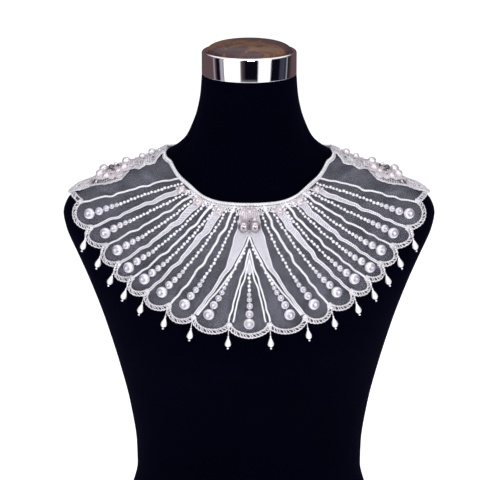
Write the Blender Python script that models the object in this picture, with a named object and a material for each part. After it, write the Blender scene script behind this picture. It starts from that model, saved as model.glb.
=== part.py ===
"""Bridal shoulder cape of embroidered tulle, worn by a limbless dress form.

Frame: +Z up, the front of the form faces -Y, +X to the viewer's right. The origin is the centre of
the form's flat base. Tables and sizes are in millimetres; MM turns them into metres at the last step.

The form is a stack of level sections read from FORM_ROWS. The cape is laid on it: cape_point(q, t, lift)
gives a point of the cloth, where q runs once round the body (0 to LOBES over the embroidered fan, from
the wearer's right shoulder to the left one, and on to ROUND over the plain back), t runs from the
neckline (0) to the hem (1), and lift is the height above the form's skin. Every sewn piece is a patch
of that same cloth with its own lifts, so it follows the panel that carries it.
"""
import bmesh
import bpy
import math
import numpy as np

MM = 0.001

# ---- driving sizes, in millimetres -------------------------------------------------------------
FORM_TOP = 514.0            # where the neck ends and the cap's band begins
CAP_RADIUS = 47.6
CAP_BAND_HEIGHT = 24.5
CAP_RIM = 2.2               # radius of the band's rounded rim
CAP_SUNK = 1.0              # the lacquered top's edge lies this far under the rim
CAP_DOME = 10.0             # rise of the top over its edge
CAP_FLATNESS = 0.6
SEAM = 0.3                  # room between touching pieces
SKIN_GAP = 0.9              # the cloth's inner face stands this far off the form
CLOTH = 1.2                 # thickness of the tulle wall
CLOTH_TOP = SKIN_GAP + CLOTH
TRIM_FLOOR = CLOTH_TOP + SEAM + 0.15     # a little more, for the cloth's facets between columns
CORD_HEIGHT = 1.3
BRAID_WIDTH = 4.6
BRAID_HEIGHT = 2.4
BINDING_WIDTH = 3.0
BINDING_HEIGHT = 2.0
LOBE_DEPTH = 11.4           # how far each lobe hangs past its two valleys
LOBE_SWELL = 1.6            # how far the cloth stands out in the middle of a lobe
LOBES = 17
BACK_SPAN = 17              # the plain back counts as this many lobes of q
ROUND = LOBES + BACK_SPAN
LACE_THICKNESS = 2.2
PEARL_SIZES = (10.8, 8.0, 6.4, 5.2)     # the graduated pearls at the foot of each string
SEED_SIZES = (4.0, 2.4)                 # the seed beads above them, foot and head of the run
DROP_START = 1.6            # the drops' threads begin this far below the valleys

# Level sections of the form. wing is the half depth of the shoulder slab at mid depth, core_width the
# half width of the trunk that swells out of it, front and back the depths on the centre line, and
# core_power how gently the trunk runs out into the slab: 0.5 is an ellipse.
FORM_COLUMNS = ("height", "half_width", "wing", "core_width", "front", "back", "core_power")
FORM_ROWS = (
    (0, 141.0, 66.0, 141.0, 106.0, 108.0, 0.60),
    (8, 146.0, 68.0, 146.0, 109.0, 111.0, 0.60),
    (40, 138.5, 66.5, 138.5, 103.0, 104.5, 0.60),
    (75, 122.5, 61.0, 122.5, 93.5, 90.0, 0.60),
    (104, 116.0, 58.0, 116.0, 88.0, 79.0, 0.60),
    (126, 116.5, 58.0, 116.5, 89.5, 77.0, 0.60),
    (170, 122.5, 60.0, 124.0, 99.0, 80.0, 0.70),
    (214, 133.0, 63.0, 136.0, 112.0, 87.0, 0.80),
    (257, 146.0, 66.0, 147.0, 121.0, 93.0, 0.80),
    (300, 161.5, 67.0, 153.0, 119.0, 98.0, 0.80),
    (335, 176.3, 65.0, 152.0, 109.0, 99.5, 0.80),
    (346, 181.3, 63.3, 149.0, 104.6, 98.6, 0.80),
    (357, 185.5, 61.0, 145.0, 100.0, 97.5, 0.80),
    (373, 188.5, 57.0, 136.0, 93.5, 95.5, 0.80),
    (385, 184.6, 54.0, 127.0, 89.0, 93.0, 0.80),
    (394, 174.5, 51.0, 119.0, 86.0, 90.5, 0.80),
    (405, 154.5, 47.5, 109.0, 81.5, 86.5, 0.80),
    (415, 132.0, 44.0, 97.0, 76.5, 81.5, 0.75),
    (425, 108.5, 40.5, 84.0, 71.5, 75.5, 0.70),
    (433, 88.5, 37.0, 74.0, 67.0, 70.0, 0.62),
    (441, 73.5, 34.0, 66.0, 63.0, 65.0, 0.55),
    (450, 64.0, 31.0, 60.0, 58.0, 60.0, 0.50),
    (462, 58.0, 28.0, 55.0, 54.0, 55.0, 0.50),
    (477, 52.6, 26.0, 52.0, 51.0, 51.5, 0.50),
    (496, 49.0, 22.0, 49.0, 48.5, 48.5, 0.50),
    (514, 47.6, 20.0, 47.6, 47.5, 47.5, 0.50),
)

# The nine rays of one side and the centre line, seen from the front: where each leaves the neckline,
# where it meets the hem, and how far it bows towards the centre on the way.
RAY_COLUMNS = ("ray", "neck_x", "neck_z", "hem_x", "hem_z", "bow")
RAY_ROWS = (
    (0.0, 66.5, 418.5, 168.4, 388.0, 0.0),
    (1.0, 56.5, 412.5, 157.4, 366.0, 0.0),
    (2.0, 51.0, 408.6, 141.8, 349.5, 1.5),
    (3.0, 44.5, 405.0, 128.3, 334.0, 2.5),
    (4.0, 33.5, 401.8, 115.0, 322.0, 3.0),
    (5.0, 25.0, 400.7, 99.5, 311.6, 3.5),
    (6.0, 13.5, 400.2, 77.7, 302.0, 4.5),
    (7.0, 6.5, 400.0, 53.9, 293.5, 5.5),
    (8.0, 2.2, 400.0, 19.5, 288.0, 3.0),
    (8.5, 0.0, 400.0, 0.0, 287.0, 0.0),
)

# The plain back, half way round: azimuths in degrees from the front, heights of neckline and hem.
BACK_COLUMNS = ("around", "neck_azimuth", "neck_height", "hem_azimuth", "hem_height")
BACK_ROWS = (
    (0.15, 71.5, 430.0, 85.5, 391.0),
    (0.30, 90.0, 436.0, 92.0, 392.0),
    (0.42, 106.0, 432.5, 105.0, 388.0),
    (0.55, 122.0, 430.5, 118.0, 382.0),
    (0.80, 152.0, 431.0, 149.0, 357.0),
    (0.92, 168.5, 431.4, 168.0, 348.0),
    (1.00, 180.0, 431.5, 180.0, 346.5),
)

# Satin rays of one side: half width near the neckline and at the hem, where each begins and ends.
TAPER_COLUMNS = ("ray", "neck_half", "hem_half", "begins", "ends")
TAPER_ROWS = (
    (1, 2.7, 1.0, 0.09, 0.93),
    (2, 1.2, 1.1, 0.05, 0.93),
    (3, 3.1, 1.1, 0.07, 0.93),
    (4, 1.3, 1.1, 0.05, 0.93),
    (5, 3.4, 1.1, 0.07, 0.93),
    (6, 1.3, 1.1, 0.05, 0.93),
)

# The upturned Vs astride the centre line: for the outer and the inner edge the t of its apex, the q
# that it settles on at the hem, and how late it gets there.
V_COLUMNS = ("name", "outer_apex", "outer_foot", "outer_power", "inner_apex", "inner_foot", "inner_power")
V_ROWS = (
    ("centre_satin", 0.10, 6.92, 40.0, 0.27, 7.10, 2.2),
    ("centre_cord_outer", 0.375, 7.92, 3.0, 0.42, 8.01, 3.0),
    ("centre_cord_inner", 0.50, 8.04, 3.0, 0.55, 8.12, 3.0),
)

# The pearl string of each lobe, from the outermost to the centre one: where it begins below the
# neckline, and where its big pearl sits.
STRING_COLUMNS = ("lobe", "begins", "pearl")
STRING_ROWS = (
    (0, 0.06, 0.935),
    (1, 0.10, 0.905),
    (2, 0.12, 0.905),
    (3, 0.08, 0.920),
    (4, 0.10, 0.900),
    (5, 0.10, 0.910),
    (6, 0.13, 0.910),
    (7, 0.36, 0.925),
    (8, 0.60, 0.965),
)

# Raised flowers of the shoulder lace: place along the shoulder and across it, height, radius in mm.
FLOWER_COLUMNS = ("along", "across", "height", "radius")
FLOWER_ROWS = (
    (0.10, 0.50, 2.5, 7.0),
    (0.27, 0.50, 3.5, 9.0),
    (0.48, 0.50, 5.0, 12.0),
    (0.66, 0.45, 4.0, 10.0),
)


# ---- tables --------------------------------------------------------------------------------------
def named(columns, rows):
    """The rows of a table, each with its values under the columns' names."""
    return [dict(zip(columns, row)) for row in rows]


def smooth_column(rows, columns, key, name):
    """A monotone cubic through one column of a table, as a function of another."""
    x = np.array([row[key] for row in named(columns, rows)], float)
    y = np.array([row[name] for row in named(columns, rows)], float)
    step = np.diff(x)
    slope = np.diff(y) / step
    tangent = np.zeros_like(y)
    tangent[0] = slope[0]
    tangent[-1] = slope[-1]
    for i in range(1, len(y) - 1):
        if slope[i - 1] * slope[i] > 0:
            near = 2 * step[i] + step[i - 1]
            far = step[i] + 2 * step[i - 1]
            tangent[i] = (near + far) / (near / slope[i - 1] + far / slope[i])

    def read(at):
        at = np.clip(np.asarray(at, float), x[0], x[-1])
        i = np.clip(np.searchsorted(x, at) - 1, 0, len(x) - 2)
        h = x[i + 1] - x[i]
        s = (at - x[i]) / h
        value = (2 * s ** 3 - 3 * s ** 2 + 1) * y[i] + (3 * s ** 2 - 2 * s ** 3) * y[i + 1]
        return value + h * ((s ** 3 - 2 * s ** 2 + s) * tangent[i] + (s ** 3 - s ** 2) * tangent[i + 1])

    return read


FORM = {name: smooth_column(FORM_ROWS, FORM_COLUMNS, "height", name) for name in FORM_COLUMNS[1:]}
RAY = {name: smooth_column(RAY_ROWS, RAY_COLUMNS, "ray", name) for name in RAY_COLUMNS[1:]}


# ---- the form's skin -----------------------------------------------------------------------------
WING_POWER = 2.6            # squareness of the shoulder slab's ends
BLEND_POWER = 2.5           # how crisply the trunk swells out of the slab


def section(z):
    """The form's level section at a height: every column of its table, read once."""
    return {name: read(z) for name, read in FORM.items()}


def section_depth(cut, x, side):
    """Distance of the skin from the mid plane at x in one section, towards the front or the back."""
    trunk = (cut[side] ** BLEND_POWER - cut["wing"] ** BLEND_POWER) ** (1 / BLEND_POWER)
    across = np.minimum(np.abs(x) / cut["half_width"], 1.0)
    slab = cut["wing"] * (1.0 - across ** WING_POWER) ** (1.0 / WING_POWER)
    swell = trunk * np.maximum(1.0 - (x / cut["core_width"]) ** 2, 0.0) ** cut["core_power"]
    return (slab ** BLEND_POWER + swell ** BLEND_POWER) ** (1 / BLEND_POWER)


def form_radius(azimuth, z):
    """Distance of the skin from the upright axis, found by halving, for azimuths in radians."""
    azimuth, z = np.broadcast_arrays(azimuth, z)
    sine = np.abs(np.sin(azimuth))
    cosine = np.cos(azimuth)
    cut = section(z)
    cut["reach"] = np.where(cosine > 0, cut["front"], cut["back"])
    near = np.zeros(z.shape)
    far = np.minimum(cut["half_width"] / np.maximum(sine, 0.2), 240.0)
    for _ in range(22):
        middle = (near + far) / 2
        x = middle * sine
        inside = (section_depth(cut, x, "reach") > middle * np.abs(cosine)) & (x < cut["half_width"])
        near = np.where(inside, middle, near)
        far = np.where(inside, far, middle)
    return near


def skin(azimuth, z, lift):
    """A point at a height above the skin, moved out along the skin's normal."""
    def bare(a, h):
        r = form_radius(a, h)
        return np.stack([r * np.sin(a), -r * np.cos(a), h + 0 * r], axis=-1)

    turn = math.radians(1.0)
    rise = 1.5
    along = bare(azimuth + turn, z) - bare(azimuth - turn, z)
    up = bare(azimuth, z + rise) - bare(azimuth, z - rise)
    normal = np.cross(along, up)
    normal /= np.linalg.norm(normal, axis=-1, keepdims=True)
    return bare(azimuth, z) + normal * np.asarray(lift)[..., None]


# ---- the cloth -----------------------------------------------------------------------------------
ROW_SHARES = np.array([0.0, 0.06, 0.13, 0.21, 0.30, 0.40, 0.50, 0.60, 0.69, 0.77, 0.85, 0.93, 1.0])


def fan_place(q, t):
    """Azimuth and height of a point of the embroidered fan: rays are lines in the front view, bowed."""
    side = np.where(q < LOBES / 2, -1.0, 1.0)
    ray = np.where(q < LOBES / 2, q, LOBES - q)
    neck_x, neck_z, hem_x, hem_z = (RAY[name](ray) for name in RAY_COLUMNS[1:5])
    run_x = hem_x - neck_x
    run_z = hem_z - neck_z
    length = np.hypot(run_x, run_z)
    bow = RAY["bow"](ray) * np.sin(math.pi * np.clip(t, 0, 1) ** 0.8)
    x = neck_x + run_x * t + bow * run_z / length
    z = neck_z + run_z * t - bow * run_x / length
    return side * np.arctan2(x, section_depth(section(z), x, "front")), z


def back_place(q, t):
    """Azimuth and height of a point of the plain back, which starts on the fan's outermost rays."""
    span = (q - LOBES) / BACK_SPAN
    side = np.where(span < 0.5, 1.0, -1.0)
    around = np.minimum(2 * span, 2 - 2 * span)
    edge_azimuth, edge_z = fan_place(0 * around + LOBES, t)
    ends = [fan_place(np.array([float(LOBES)]), np.array([end])) for end in (0.0, 1.0)]
    (neck_a, neck_z), (hem_a, hem_z) = [(math.degrees(a[0]), z[0]) for a, z in ends]
    rows = ((0.0, neck_a, neck_z, hem_a, hem_z),) + BACK_ROWS
    read = {name: smooth_column(rows, BACK_COLUMNS, "around", name) for name in BACK_COLUMNS[1:]}
    azimuth = np.radians(read["neck_azimuth"](around) * (1 - t) + read["hem_azimuth"](around) * t)
    height = read["neck_height"](around) * (1 - t) + read["hem_height"](around) * t
    fade = np.clip(1 - around / 0.3, 0, 1) ** 2
    azimuth = azimuth + fade * (edge_azimuth - np.radians(neck_a * (1 - t) + hem_a * t))
    height = height + fade * (edge_z - (neck_z * (1 - t) + hem_z * t))
    return side * azimuth, height


def lobe_part(q):
    """Place across a lobe, 0 to 1 from valley to valley, and 0 over the plain back."""
    return np.where(q < LOBES, q - np.floor(q), 0.0)


def hem_reach(q):
    """The value of t at the cloth's edge: 1 at the valleys, more along each lobe's arc."""
    across = lobe_part(q)
    arc = np.clip(4 * across * (1 - across), 0, 1) ** 0.55
    return 1.0 + LOBE_DEPTH * arc / column_length(q)


def column_length(q):
    """Straight distance from neckline to hem in the cloth, for turning millimetres into t."""
    foot = place(q, np.ones_like(q))
    head = place(q, np.zeros_like(q))
    ends = [skin(azimuth, z, np.zeros_like(z)) for azimuth, z in (head, foot)]
    return np.linalg.norm(ends[1] - ends[0], axis=-1)


def place(q, t):
    """Azimuth and height anywhere on the cape."""
    q = np.mod(np.asarray(q, float), ROUND)
    fan_a, fan_z = fan_place(np.minimum(q, LOBES), t)
    back_a, back_z = back_place(np.maximum(q, LOBES), t)
    on_fan = q <= LOBES
    return np.where(on_fan, fan_a, back_a), np.where(on_fan, fan_z, back_z)


def draped_point(q, t, lift):
    """A point of the smooth cloth. Between the rays it stands out in a swell that grows to the hem."""
    azimuth, z = place(q, t)
    across = lobe_part(np.mod(q, ROUND))
    swell = LOBE_SWELL * (1 - np.cos(2 * math.pi * across)) / 2 * np.clip(t, 0, 1) ** 2
    return skin(azimuth, z, lift + swell)


def cape_point(q, t, lift):
    """A point of the faceted cloth: straight between the panel's own rows, so that trim never dips in."""
    q, t, lift = np.broadcast_arrays(np.asarray(q, float), np.asarray(t, float), np.asarray(lift, float))
    reach = hem_reach(np.mod(q, ROUND))
    share = t / reach
    row = np.clip(np.searchsorted(ROW_SHARES, share, side="right") - 1, 0, len(ROW_SHARES) - 2)
    above = ROW_SHARES[row]
    below = ROW_SHARES[row + 1]
    part = ((share - above) / (below - above))[..., None]
    return (1 - part) * draped_point(q, above * reach, lift) + part * draped_point(q, below * reach, lift)


# ---- mesh makers ---------------------------------------------------------------------------------
MATERIALS = {}


def material(name, colour, roughness, metallic=0.0, alpha=1.0):
    """One Principled material, made once."""
    if name not in MATERIALS:
        made = bpy.data.materials.new(name)
        made.use_nodes = True
        shader = made.node_tree.nodes["Principled BSDF"]
        shader.inputs["Base Color"].default_value = (*colour, 1.0)
        shader.inputs["Roughness"].default_value = roughness
        shader.inputs["Metallic"].default_value = metallic
        shader.inputs["Alpha"].default_value = alpha
        MATERIALS[name] = made
    return MATERIALS[name]


def velvet():
    return material("black_velvet", (0.006, 0.006, 0.012), 0.9)


def chrome():
    return material("chrome", (0.8, 0.8, 0.82), 0.06, metallic=1.0)


def lacquer():
    return material("dark_burl_lacquer", (0.09, 0.035, 0.03), 0.15)


def tulle():
    return material("white_tulle", (0.80, 0.80, 0.86), 0.8, alpha=0.3)


def satin():
    return material("satin_thread", (0.85, 0.82, 0.88), 0.45)


def lace():
    return material("guipure_lace", (0.88, 0.83, 0.87), 0.6)


def pearl():
    return material("pearl", (0.88, 0.85, 0.88), 0.2)


def finish(name, vertices, faces, look):
    """One named object from points in millimetres, its faces turned outwards."""
    mesh = bpy.data.meshes.new(name)
    mesh.from_pydata([tuple(float(c) * MM for c in v) for v in vertices], [], faces)
    built = bmesh.new()
    built.from_mesh(mesh)
    bmesh.ops.recalc_face_normals(built, faces=built.faces)
    built.to_mesh(mesh)
    built.free()
    mesh.shade_smooth()
    mesh.set_sharp_from_angle(angle=math.radians(40))
    mesh.materials.append(look)
    piece = bpy.data.objects.new(name, mesh)
    bpy.context.scene.collection.objects.link(piece)
    return piece


def wall(name, low, high, look, keep=None, closed=False):
    """A closed wall between two grids of points; keep names the cells that are cloth."""
    rows, columns = low.shape[:2]
    row_cells = rows if closed else rows - 1
    if keep is None:
        keep = np.ones((row_cells, columns - 1), bool)
    number = {}
    vertices = []

    def corner(level, i, j):
        key = (level, i % rows, j)
        if key not in number:
            number[key] = len(vertices)
            vertices.append((low, high)[level][i % rows, j])
        return number[key]

    def kept(i, j):
        if closed:
            i %= rows
        return 0 <= i < row_cells and 0 <= j < columns - 1 and keep[i, j]

    faces = []
    for i in range(row_cells):
        for j in range(columns - 1):
            if not keep[i, j]:
                continue
            ring = ((i, j), (i + 1, j), (i + 1, j + 1), (i, j + 1))
            faces.append([corner(1, *at) for at in ring])
            faces.append([corner(0, *at) for at in reversed(ring)])
            beyond = ((i, j - 1), (i + 1, j), (i, j + 1), (i - 1, j))
            for side, neighbour in enumerate(beyond):
                if not kept(*neighbour):
                    a = ring[side]
                    b = ring[(side + 1) % 4]
                    faces.append([corner(0, *a), corner(0, *b), corner(1, *b), corner(1, *a)])
    return finish(name, vertices, faces, look)


def ridge(name, left, right, crest, look, closed=False):
    """A cord sewn flat: a three-sided bar between two lines of points and the crest over them."""
    count = len(left)
    vertices = np.concatenate([left, crest, right])
    faces = []
    for i in range(count if closed else count - 1):
        n = (i + 1) % count
        for a, b in ((0, 1), (1, 2), (2, 0)):
            faces.append([a * count + i, a * count + n, b * count + n, b * count + i])
    if not closed:
        faces.append([0, count, 2 * count])
        faces.append([3 * count - 1, 2 * count - 1, count - 1])
    return finish(name, vertices, faces, look)


def turned(name, profile, look, segments=32):
    """A closed solid of revolution about Z; profile points on the axis become poles."""
    vertices = []
    rings = []
    for radius, height in profile:
        if radius == 0:
            rings.append([len(vertices)] * segments)
            vertices.append((0.0, 0.0, height))
            continue
        rings.append(range(len(vertices), len(vertices) + segments))
        for k in range(segments):
            angle = 2 * math.pi * k / segments
            vertices.append((radius * math.cos(angle), radius * math.sin(angle), height))
    pairs = list(zip(rings, rings[1:]))
    if profile[0][0] > 0:
        pairs.append((rings[-1], rings[0]))
    faces = []
    for a, b in pairs:
        for k in range(segments):
            n = (k + 1) % segments
            quad = [a[k], a[n], b[n], b[k]]
            faces.append(list(dict.fromkeys(quad)))
    return finish(name, vertices, faces, look)


def beaded_tube(name, centres, normals, radii, look, sides=6):
    """A closed tube through the centres, whose radius swells at every bead."""
    tangents = np.gradient(centres, axis=0)
    tangents /= np.linalg.norm(tangents, axis=1, keepdims=True)
    across = np.cross(tangents, normals)
    across /= np.linalg.norm(across, axis=1, keepdims=True)
    outward = np.cross(across, tangents)
    vertices = []
    for centre, side, out, radius in zip(centres, across, outward, radii):
        for k in range(sides):
            angle = 2 * math.pi * (k + 0.5) / sides
            vertices.append(centre + radius * (math.cos(angle) * side + math.sin(angle) * out))
    faces = []
    for i in range(len(centres) - 1):
        for k in range(sides):
            n = (k + 1) % sides
            faces.append([i * sides + k, i * sides + n, (i + 1) * sides + n, (i + 1) * sides + k])
    last = (len(centres) - 1) * sides
    faces.append(list(range(sides))[::-1])
    faces.append(list(range(last, last + sides)))
    return finish(name, vertices, faces, look)


# ---- dress form ----------------------------------------------------------------------------------
FORM_SIDES = 56
FLARE = (400.0, 470.0)      # between these heights the neck's flare takes a ring between the rows too


def form_levels():
    """Heights of the form's rings: each row of the table, and half way between rows in the flare."""
    heights = [float(row[0]) for row in FORM_ROWS]
    between = [(a + b) / 2 for a, b in zip(heights, heights[1:]) if FLARE[0] <= a < FLARE[1]]
    return sorted(heights + between)


def make_form():
    """The smooth limbless body, in level rings from its flat base to the top of the neck."""
    angle = 2 * math.pi * np.arange(FORM_SIDES) / FORM_SIDES
    facing = np.round(np.cos(angle), 9)
    vertices = []
    for z in form_levels():
        cut = section(z)
        x = cut["half_width"] * np.sin(angle)
        depth = np.where(facing > 0, section_depth(cut, x, "front"), section_depth(cut, x, "back"))
        y = -np.sign(facing) * depth
        vertices.extend(np.stack([x, y, np.full_like(x, z)], axis=-1))
    last = len(vertices) - FORM_SIDES
    faces = [list(range(FORM_SIDES)), list(range(last, last + FORM_SIDES))]
    for i in range(last // FORM_SIDES):
        for k in range(FORM_SIDES):
            n = (k + 1) % FORM_SIDES
            a = i * FORM_SIDES
            b = a + FORM_SIDES
            faces.append([a + k, a + n, b + n, b + k])
    finish("form_body", vertices, faces, velvet())


def make_cap():
    """A chrome band with a rounded rim, and a domed lacquered top set into it."""
    foot = FORM_TOP + SEAM
    rim = FORM_TOP + CAP_BAND_HEIGHT
    inner = CAP_RADIUS - 2 * CAP_RIM
    band = [(inner, foot), (CAP_RADIUS, foot)]
    for k in range(5):
        angle = math.pi * k / 4
        radius = CAP_RADIUS - CAP_RIM + CAP_RIM * math.cos(angle)
        band.append((radius, rim - CAP_RIM + CAP_RIM * math.sin(angle)))
    turned("neck_ring", band, chrome())
    edge = inner - SEAM
    shoulder = rim - CAP_SUNK
    top = [(0, foot), (edge, foot)]
    for k in range(4):
        angle = math.pi / 2 * k / 4
        top.append((edge * math.cos(angle) ** CAP_FLATNESS, shoulder + CAP_DOME * math.sin(angle)))
    top.append((0, shoulder + CAP_DOME))
    turned("neck_cap", top, lacquer())


# ---- cape cloth ----------------------------------------------------------------------------------
SEAM_Q = 0.025              # the fan stops this much of a lobe short of the plain back
LOBE_COLUMNS = (0.0, 0.15, 0.38, 0.62, 0.85)


def fan_columns():
    """q of the fan's columns: five to a lobe, closer to the valleys, where the edge turns."""
    columns = [lobe + part for lobe in range(LOBES) for part in LOBE_COLUMNS]
    columns[0] = SEAM_Q
    return np.array(columns + [LOBES - SEAM_Q])


BACK_STEPS = ((0.0, 0.15, 3), (0.15, 0.62, 15), (0.62, 1.0, 6))     # from, to, columns; half way round


def back_columns():
    """q of the plain back's columns, closest together where the cloth turns over the shoulders."""
    half = [start + (stop - start) * k / count for start, stop, count in BACK_STEPS for k in range(count)]
    around = np.array(half + [1.0] + [2.0 - place for place in reversed(half)])
    return LOBES + BACK_SPAN * around / 2


def make_cloth():
    """The embroidered fan in front, and the plain tulle that goes over both shoulders and the back."""
    q = fan_columns()[:, None]
    t = ROW_SHARES[None, :] * hem_reach(q)
    wall("front_tulle", cape_point(q, t, SKIN_GAP), cape_point(q, t, CLOTH_TOP), tulle())
    q = back_columns()[:, None]
    t = ROW_SHARES[None, :] + 0 * q
    wall("back_tulle", cape_point(q, t, SKIN_GAP), cape_point(q, t, CLOTH_TOP), tulle())


def sewn(name, q, t, height, look, closed=False):
    """A cord on the cloth. q and t hold its two edges, one point a row; the crest runs between them."""
    middle_q = (q[:, 0] + q[:, 1]) / 2
    middle_t = (t[:, 0] + t[:, 1]) / 2
    left = cape_point(q[:, 0], t[:, 0], TRIM_FLOOR)
    right = cape_point(q[:, 1], t[:, 1], TRIM_FLOOR)
    crest = cape_point(middle_q, middle_t, TRIM_FLOOR + height)
    return ridge(name, left, right, crest, look, closed)


def make_binding():
    """The narrow corded binding, closed round the neckline on top of the cloth."""
    q = np.concatenate([np.arange(0, LOBES, 0.5), back_columns()[:-1]])[:, None]
    half = BINDING_WIDTH / 2 / column_length(q)
    t = half * np.array([[-1.0, 1.0]])
    sewn("neck_binding", q + 0 * t, t, BINDING_HEIGHT, satin(), closed=True)


BRAID_OUT = 0.15            # share of the braid's width that stands past the cloth's edge
BRAID_IN = 0.95             # share of it inside the edge: on a lobe's arc, in a valley, on the back
VALLEY_IN = 1.1
BACK_IN = 0.75
ARC_INSIDE = 0.66           # the inner edge of a lobe's arc spans this much of the lobe


def braid_edges():
    """Outer and inner edge of the hem braid as (q, t): arcs round each lobe, a knot at each valley."""
    outer = []
    inner = []
    length = column_length(np.arange(0, ROUND, 0.5))
    for lobe in range(LOBES):
        size = BRAID_WIDTH / length[2 * lobe + 1]
        for part in LOBE_COLUMNS:
            q = np.array([lobe + part])
            outer.append((q[0], hem_reach(q)[0] + BRAID_OUT * size))
            if part:
                q = np.array([lobe + 0.5 + (part - 0.5) * ARC_INSIDE])
                inner.append((q[0], hem_reach(q)[0] - BRAID_IN * size))
            else:
                inner.append((q[0], 1.0 - VALLEY_IN * size))
    for q in back_columns()[:-1]:
        size = BRAID_WIDTH / column_length(np.array([q]))[0]
        outer.append((q, 1.0 + BRAID_OUT * size))
        inner.append((q, 1.0 - BACK_IN * size))
    return np.array(outer), np.array(inner)


def make_braid():
    """The beaded braid sewn round the whole hem."""
    outer, inner = braid_edges()
    q = np.stack([outer[:, 0], inner[:, 0]], axis=1)
    t = np.stack([outer[:, 1], inner[:, 1]], axis=1)
    sewn("hem_braid", q, t, BRAID_HEIGHT, satin(), closed=True)


# ---- rays and centre motif -----------------------------------------------------------------------
TAPER_ROUND = 0.62          # over 0.5 the widest place lies below the ray's neck end, which is rounded
TAPER_POWER = 2.4
EDGE_CORD_HALF = 1.1
CORD_ENDS = 0.93            # the cords stop here, where the hem braid's knots begin


def lobe_width(q, t):
    """Width of one lobe in millimetres at t, for turning a cord's width into q."""
    left = cape_point(q - 0.5, t, 0.0)
    right = cape_point(q + 0.5, t, 0.0)
    return np.linalg.norm(right - left, axis=-1)


def rows_between(begins, ends):
    """The panel's own rows between two values of t, with both ends added."""
    inner = [row for row in ROW_SHARES if begins + 0.03 < row < ends - 0.03]
    return np.array([begins, *inner, ends])


def make_ray(name, q, neck_half, hem_half, begins, ends):
    """A satin-stitched ray: a low ridge along one ray of the fan, wide near the neck, thin at the hem."""
    t = rows_between(begins, ends)
    share = (t - begins) / (ends - begins)
    half = hem_half + (neck_half - hem_half) * np.sin(math.pi * TAPER_ROUND * (1 - share) ** TAPER_POWER)
    line = np.full_like(t, q)
    spread = half / lobe_width(np.clip(line, 0.5, LOBES - 0.5), t)
    edges = line[:, None] + spread[:, None] * np.array([[-1.0, 1.0]])
    sewn(name, edges, t[:, None] + 0 * edges, CORD_HEIGHT, satin())


def make_rays():
    """Six rays a side, and the cord over the seam where the fan meets the plain back."""
    for row in named(TAPER_COLUMNS, TAPER_ROWS):
        for side, q in (("right", row["ray"]), ("left", LOBES - row["ray"])):
            make_ray(f"ray_{side}_{row['ray']}", q,
                     row["neck_half"], row["hem_half"], row["begins"], row["ends"])
    for side, q in (("right", 0), ("left", LOBES)):
        make_ray(f"edge_cord_{side}", q, EDGE_CORD_HALF, EDGE_CORD_HALF, 0.05, CORD_ENDS)


def arms(name, outer, inner, apex, foot):
    """An upturned V astride the centre line. outer and inner give q of the right arm's edges by t."""
    outer_t = rows_between(apex[0], foot)
    share = (outer_t - apex[0]) / (foot - apex[0])
    inner_t = np.maximum(apex[1] + (foot - apex[1]) * share, outer_t)
    q = np.stack([outer(outer_t), inner(inner_t)], axis=1)
    t = np.stack([outer_t, inner_t], axis=1)
    q[0] = LOBES / 2
    q = np.concatenate([q[::-1], LOBES - q[1:]])
    t = np.concatenate([t[::-1], t[1:]])
    sewn(name, q, t, CORD_HEIGHT, satin())


def centre_line(t, foot_q, apex_t, power):
    """q of a line that leaves the centre at apex_t and settles on foot_q towards the hem."""
    share = np.clip((1 - t) / (1 - apex_t), 0, 1)
    return foot_q + (LOBES / 2 - foot_q) * share ** power


def make_centre():
    """The wide satin V under the flower with the cord that edges it, and two nested cords inside."""
    for row in named(V_COLUMNS, V_ROWS):
        def edge(t, part):
            return centre_line(t, row[f"{part}_foot"], row[f"{part}_apex"], row[f"{part}_power"])

        arms(row["name"], lambda t: edge(t, "outer"), lambda t: edge(t, "inner"),
             (row["outer_apex"], row["inner_apex"]), CORD_ENDS)


# ---- beads ---------------------------------------------------------------------------------------
BEAD_PITCH = 1.06           # distance between neighbouring pearls over the sum of their radii
THREAD_SHARE = 0.45         # radius where two pearls meet, over the smaller one's
BIG_PEARL_CUTS = (-0.95, -0.5, 0.1, 0.65)   # rings of the big pearl, in radii along the string
PEARL_CUT = 0.4             # and of the pearls above it, on each side of the middle
SEED_ROOM = 3.0             # the least distance between two rings of the seed run
SIDE_STRING = (7.53, 0.30, 1.8)             # foot, apex and power of the strings that start under the V


def bead_profile(seed_places):
    """Distances up the string and radii, from under the big pearl to the last seed bead."""
    radii = [size / 2 for size in PEARL_SIZES]
    along = [share * radii[0] for share in BIG_PEARL_CUTS]
    girth = [radii[0] * math.sqrt(1 - share ** 2) for share in BIG_PEARL_CUTS]
    centre = 0.0
    for big, small in zip(radii, radii[1:]):
        pitch = (big + small) * BEAD_PITCH
        thread = centre + big + (pitch - big - small) / 2
        centre += pitch
        along += [thread, centre - PEARL_CUT * small, centre + PEARL_CUT * small]
        girth += [THREAD_SHARE * small] + 2 * [math.sqrt(1 - PEARL_CUT ** 2) * small]
    start = centre + radii[-1]
    seeds = [start] + [place for place in seed_places if place > start + SEED_ROOM]
    along += seeds
    girth += list(np.linspace(SEED_SIZES[0], SEED_SIZES[1], len(seeds)) / 2)
    return np.array(along), np.array(girth)


def string_line(lobe, t):
    """q along a string: the middle of its lobe, but the two beside the centre start under the V."""
    if lobe == LOBES // 2 - 1:
        return centre_line(t, *SIDE_STRING)
    if lobe == LOBES // 2 + 1:
        return LOBES - centre_line(t, *SIDE_STRING)
    return lobe + 0.5 + 0 * t


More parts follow.
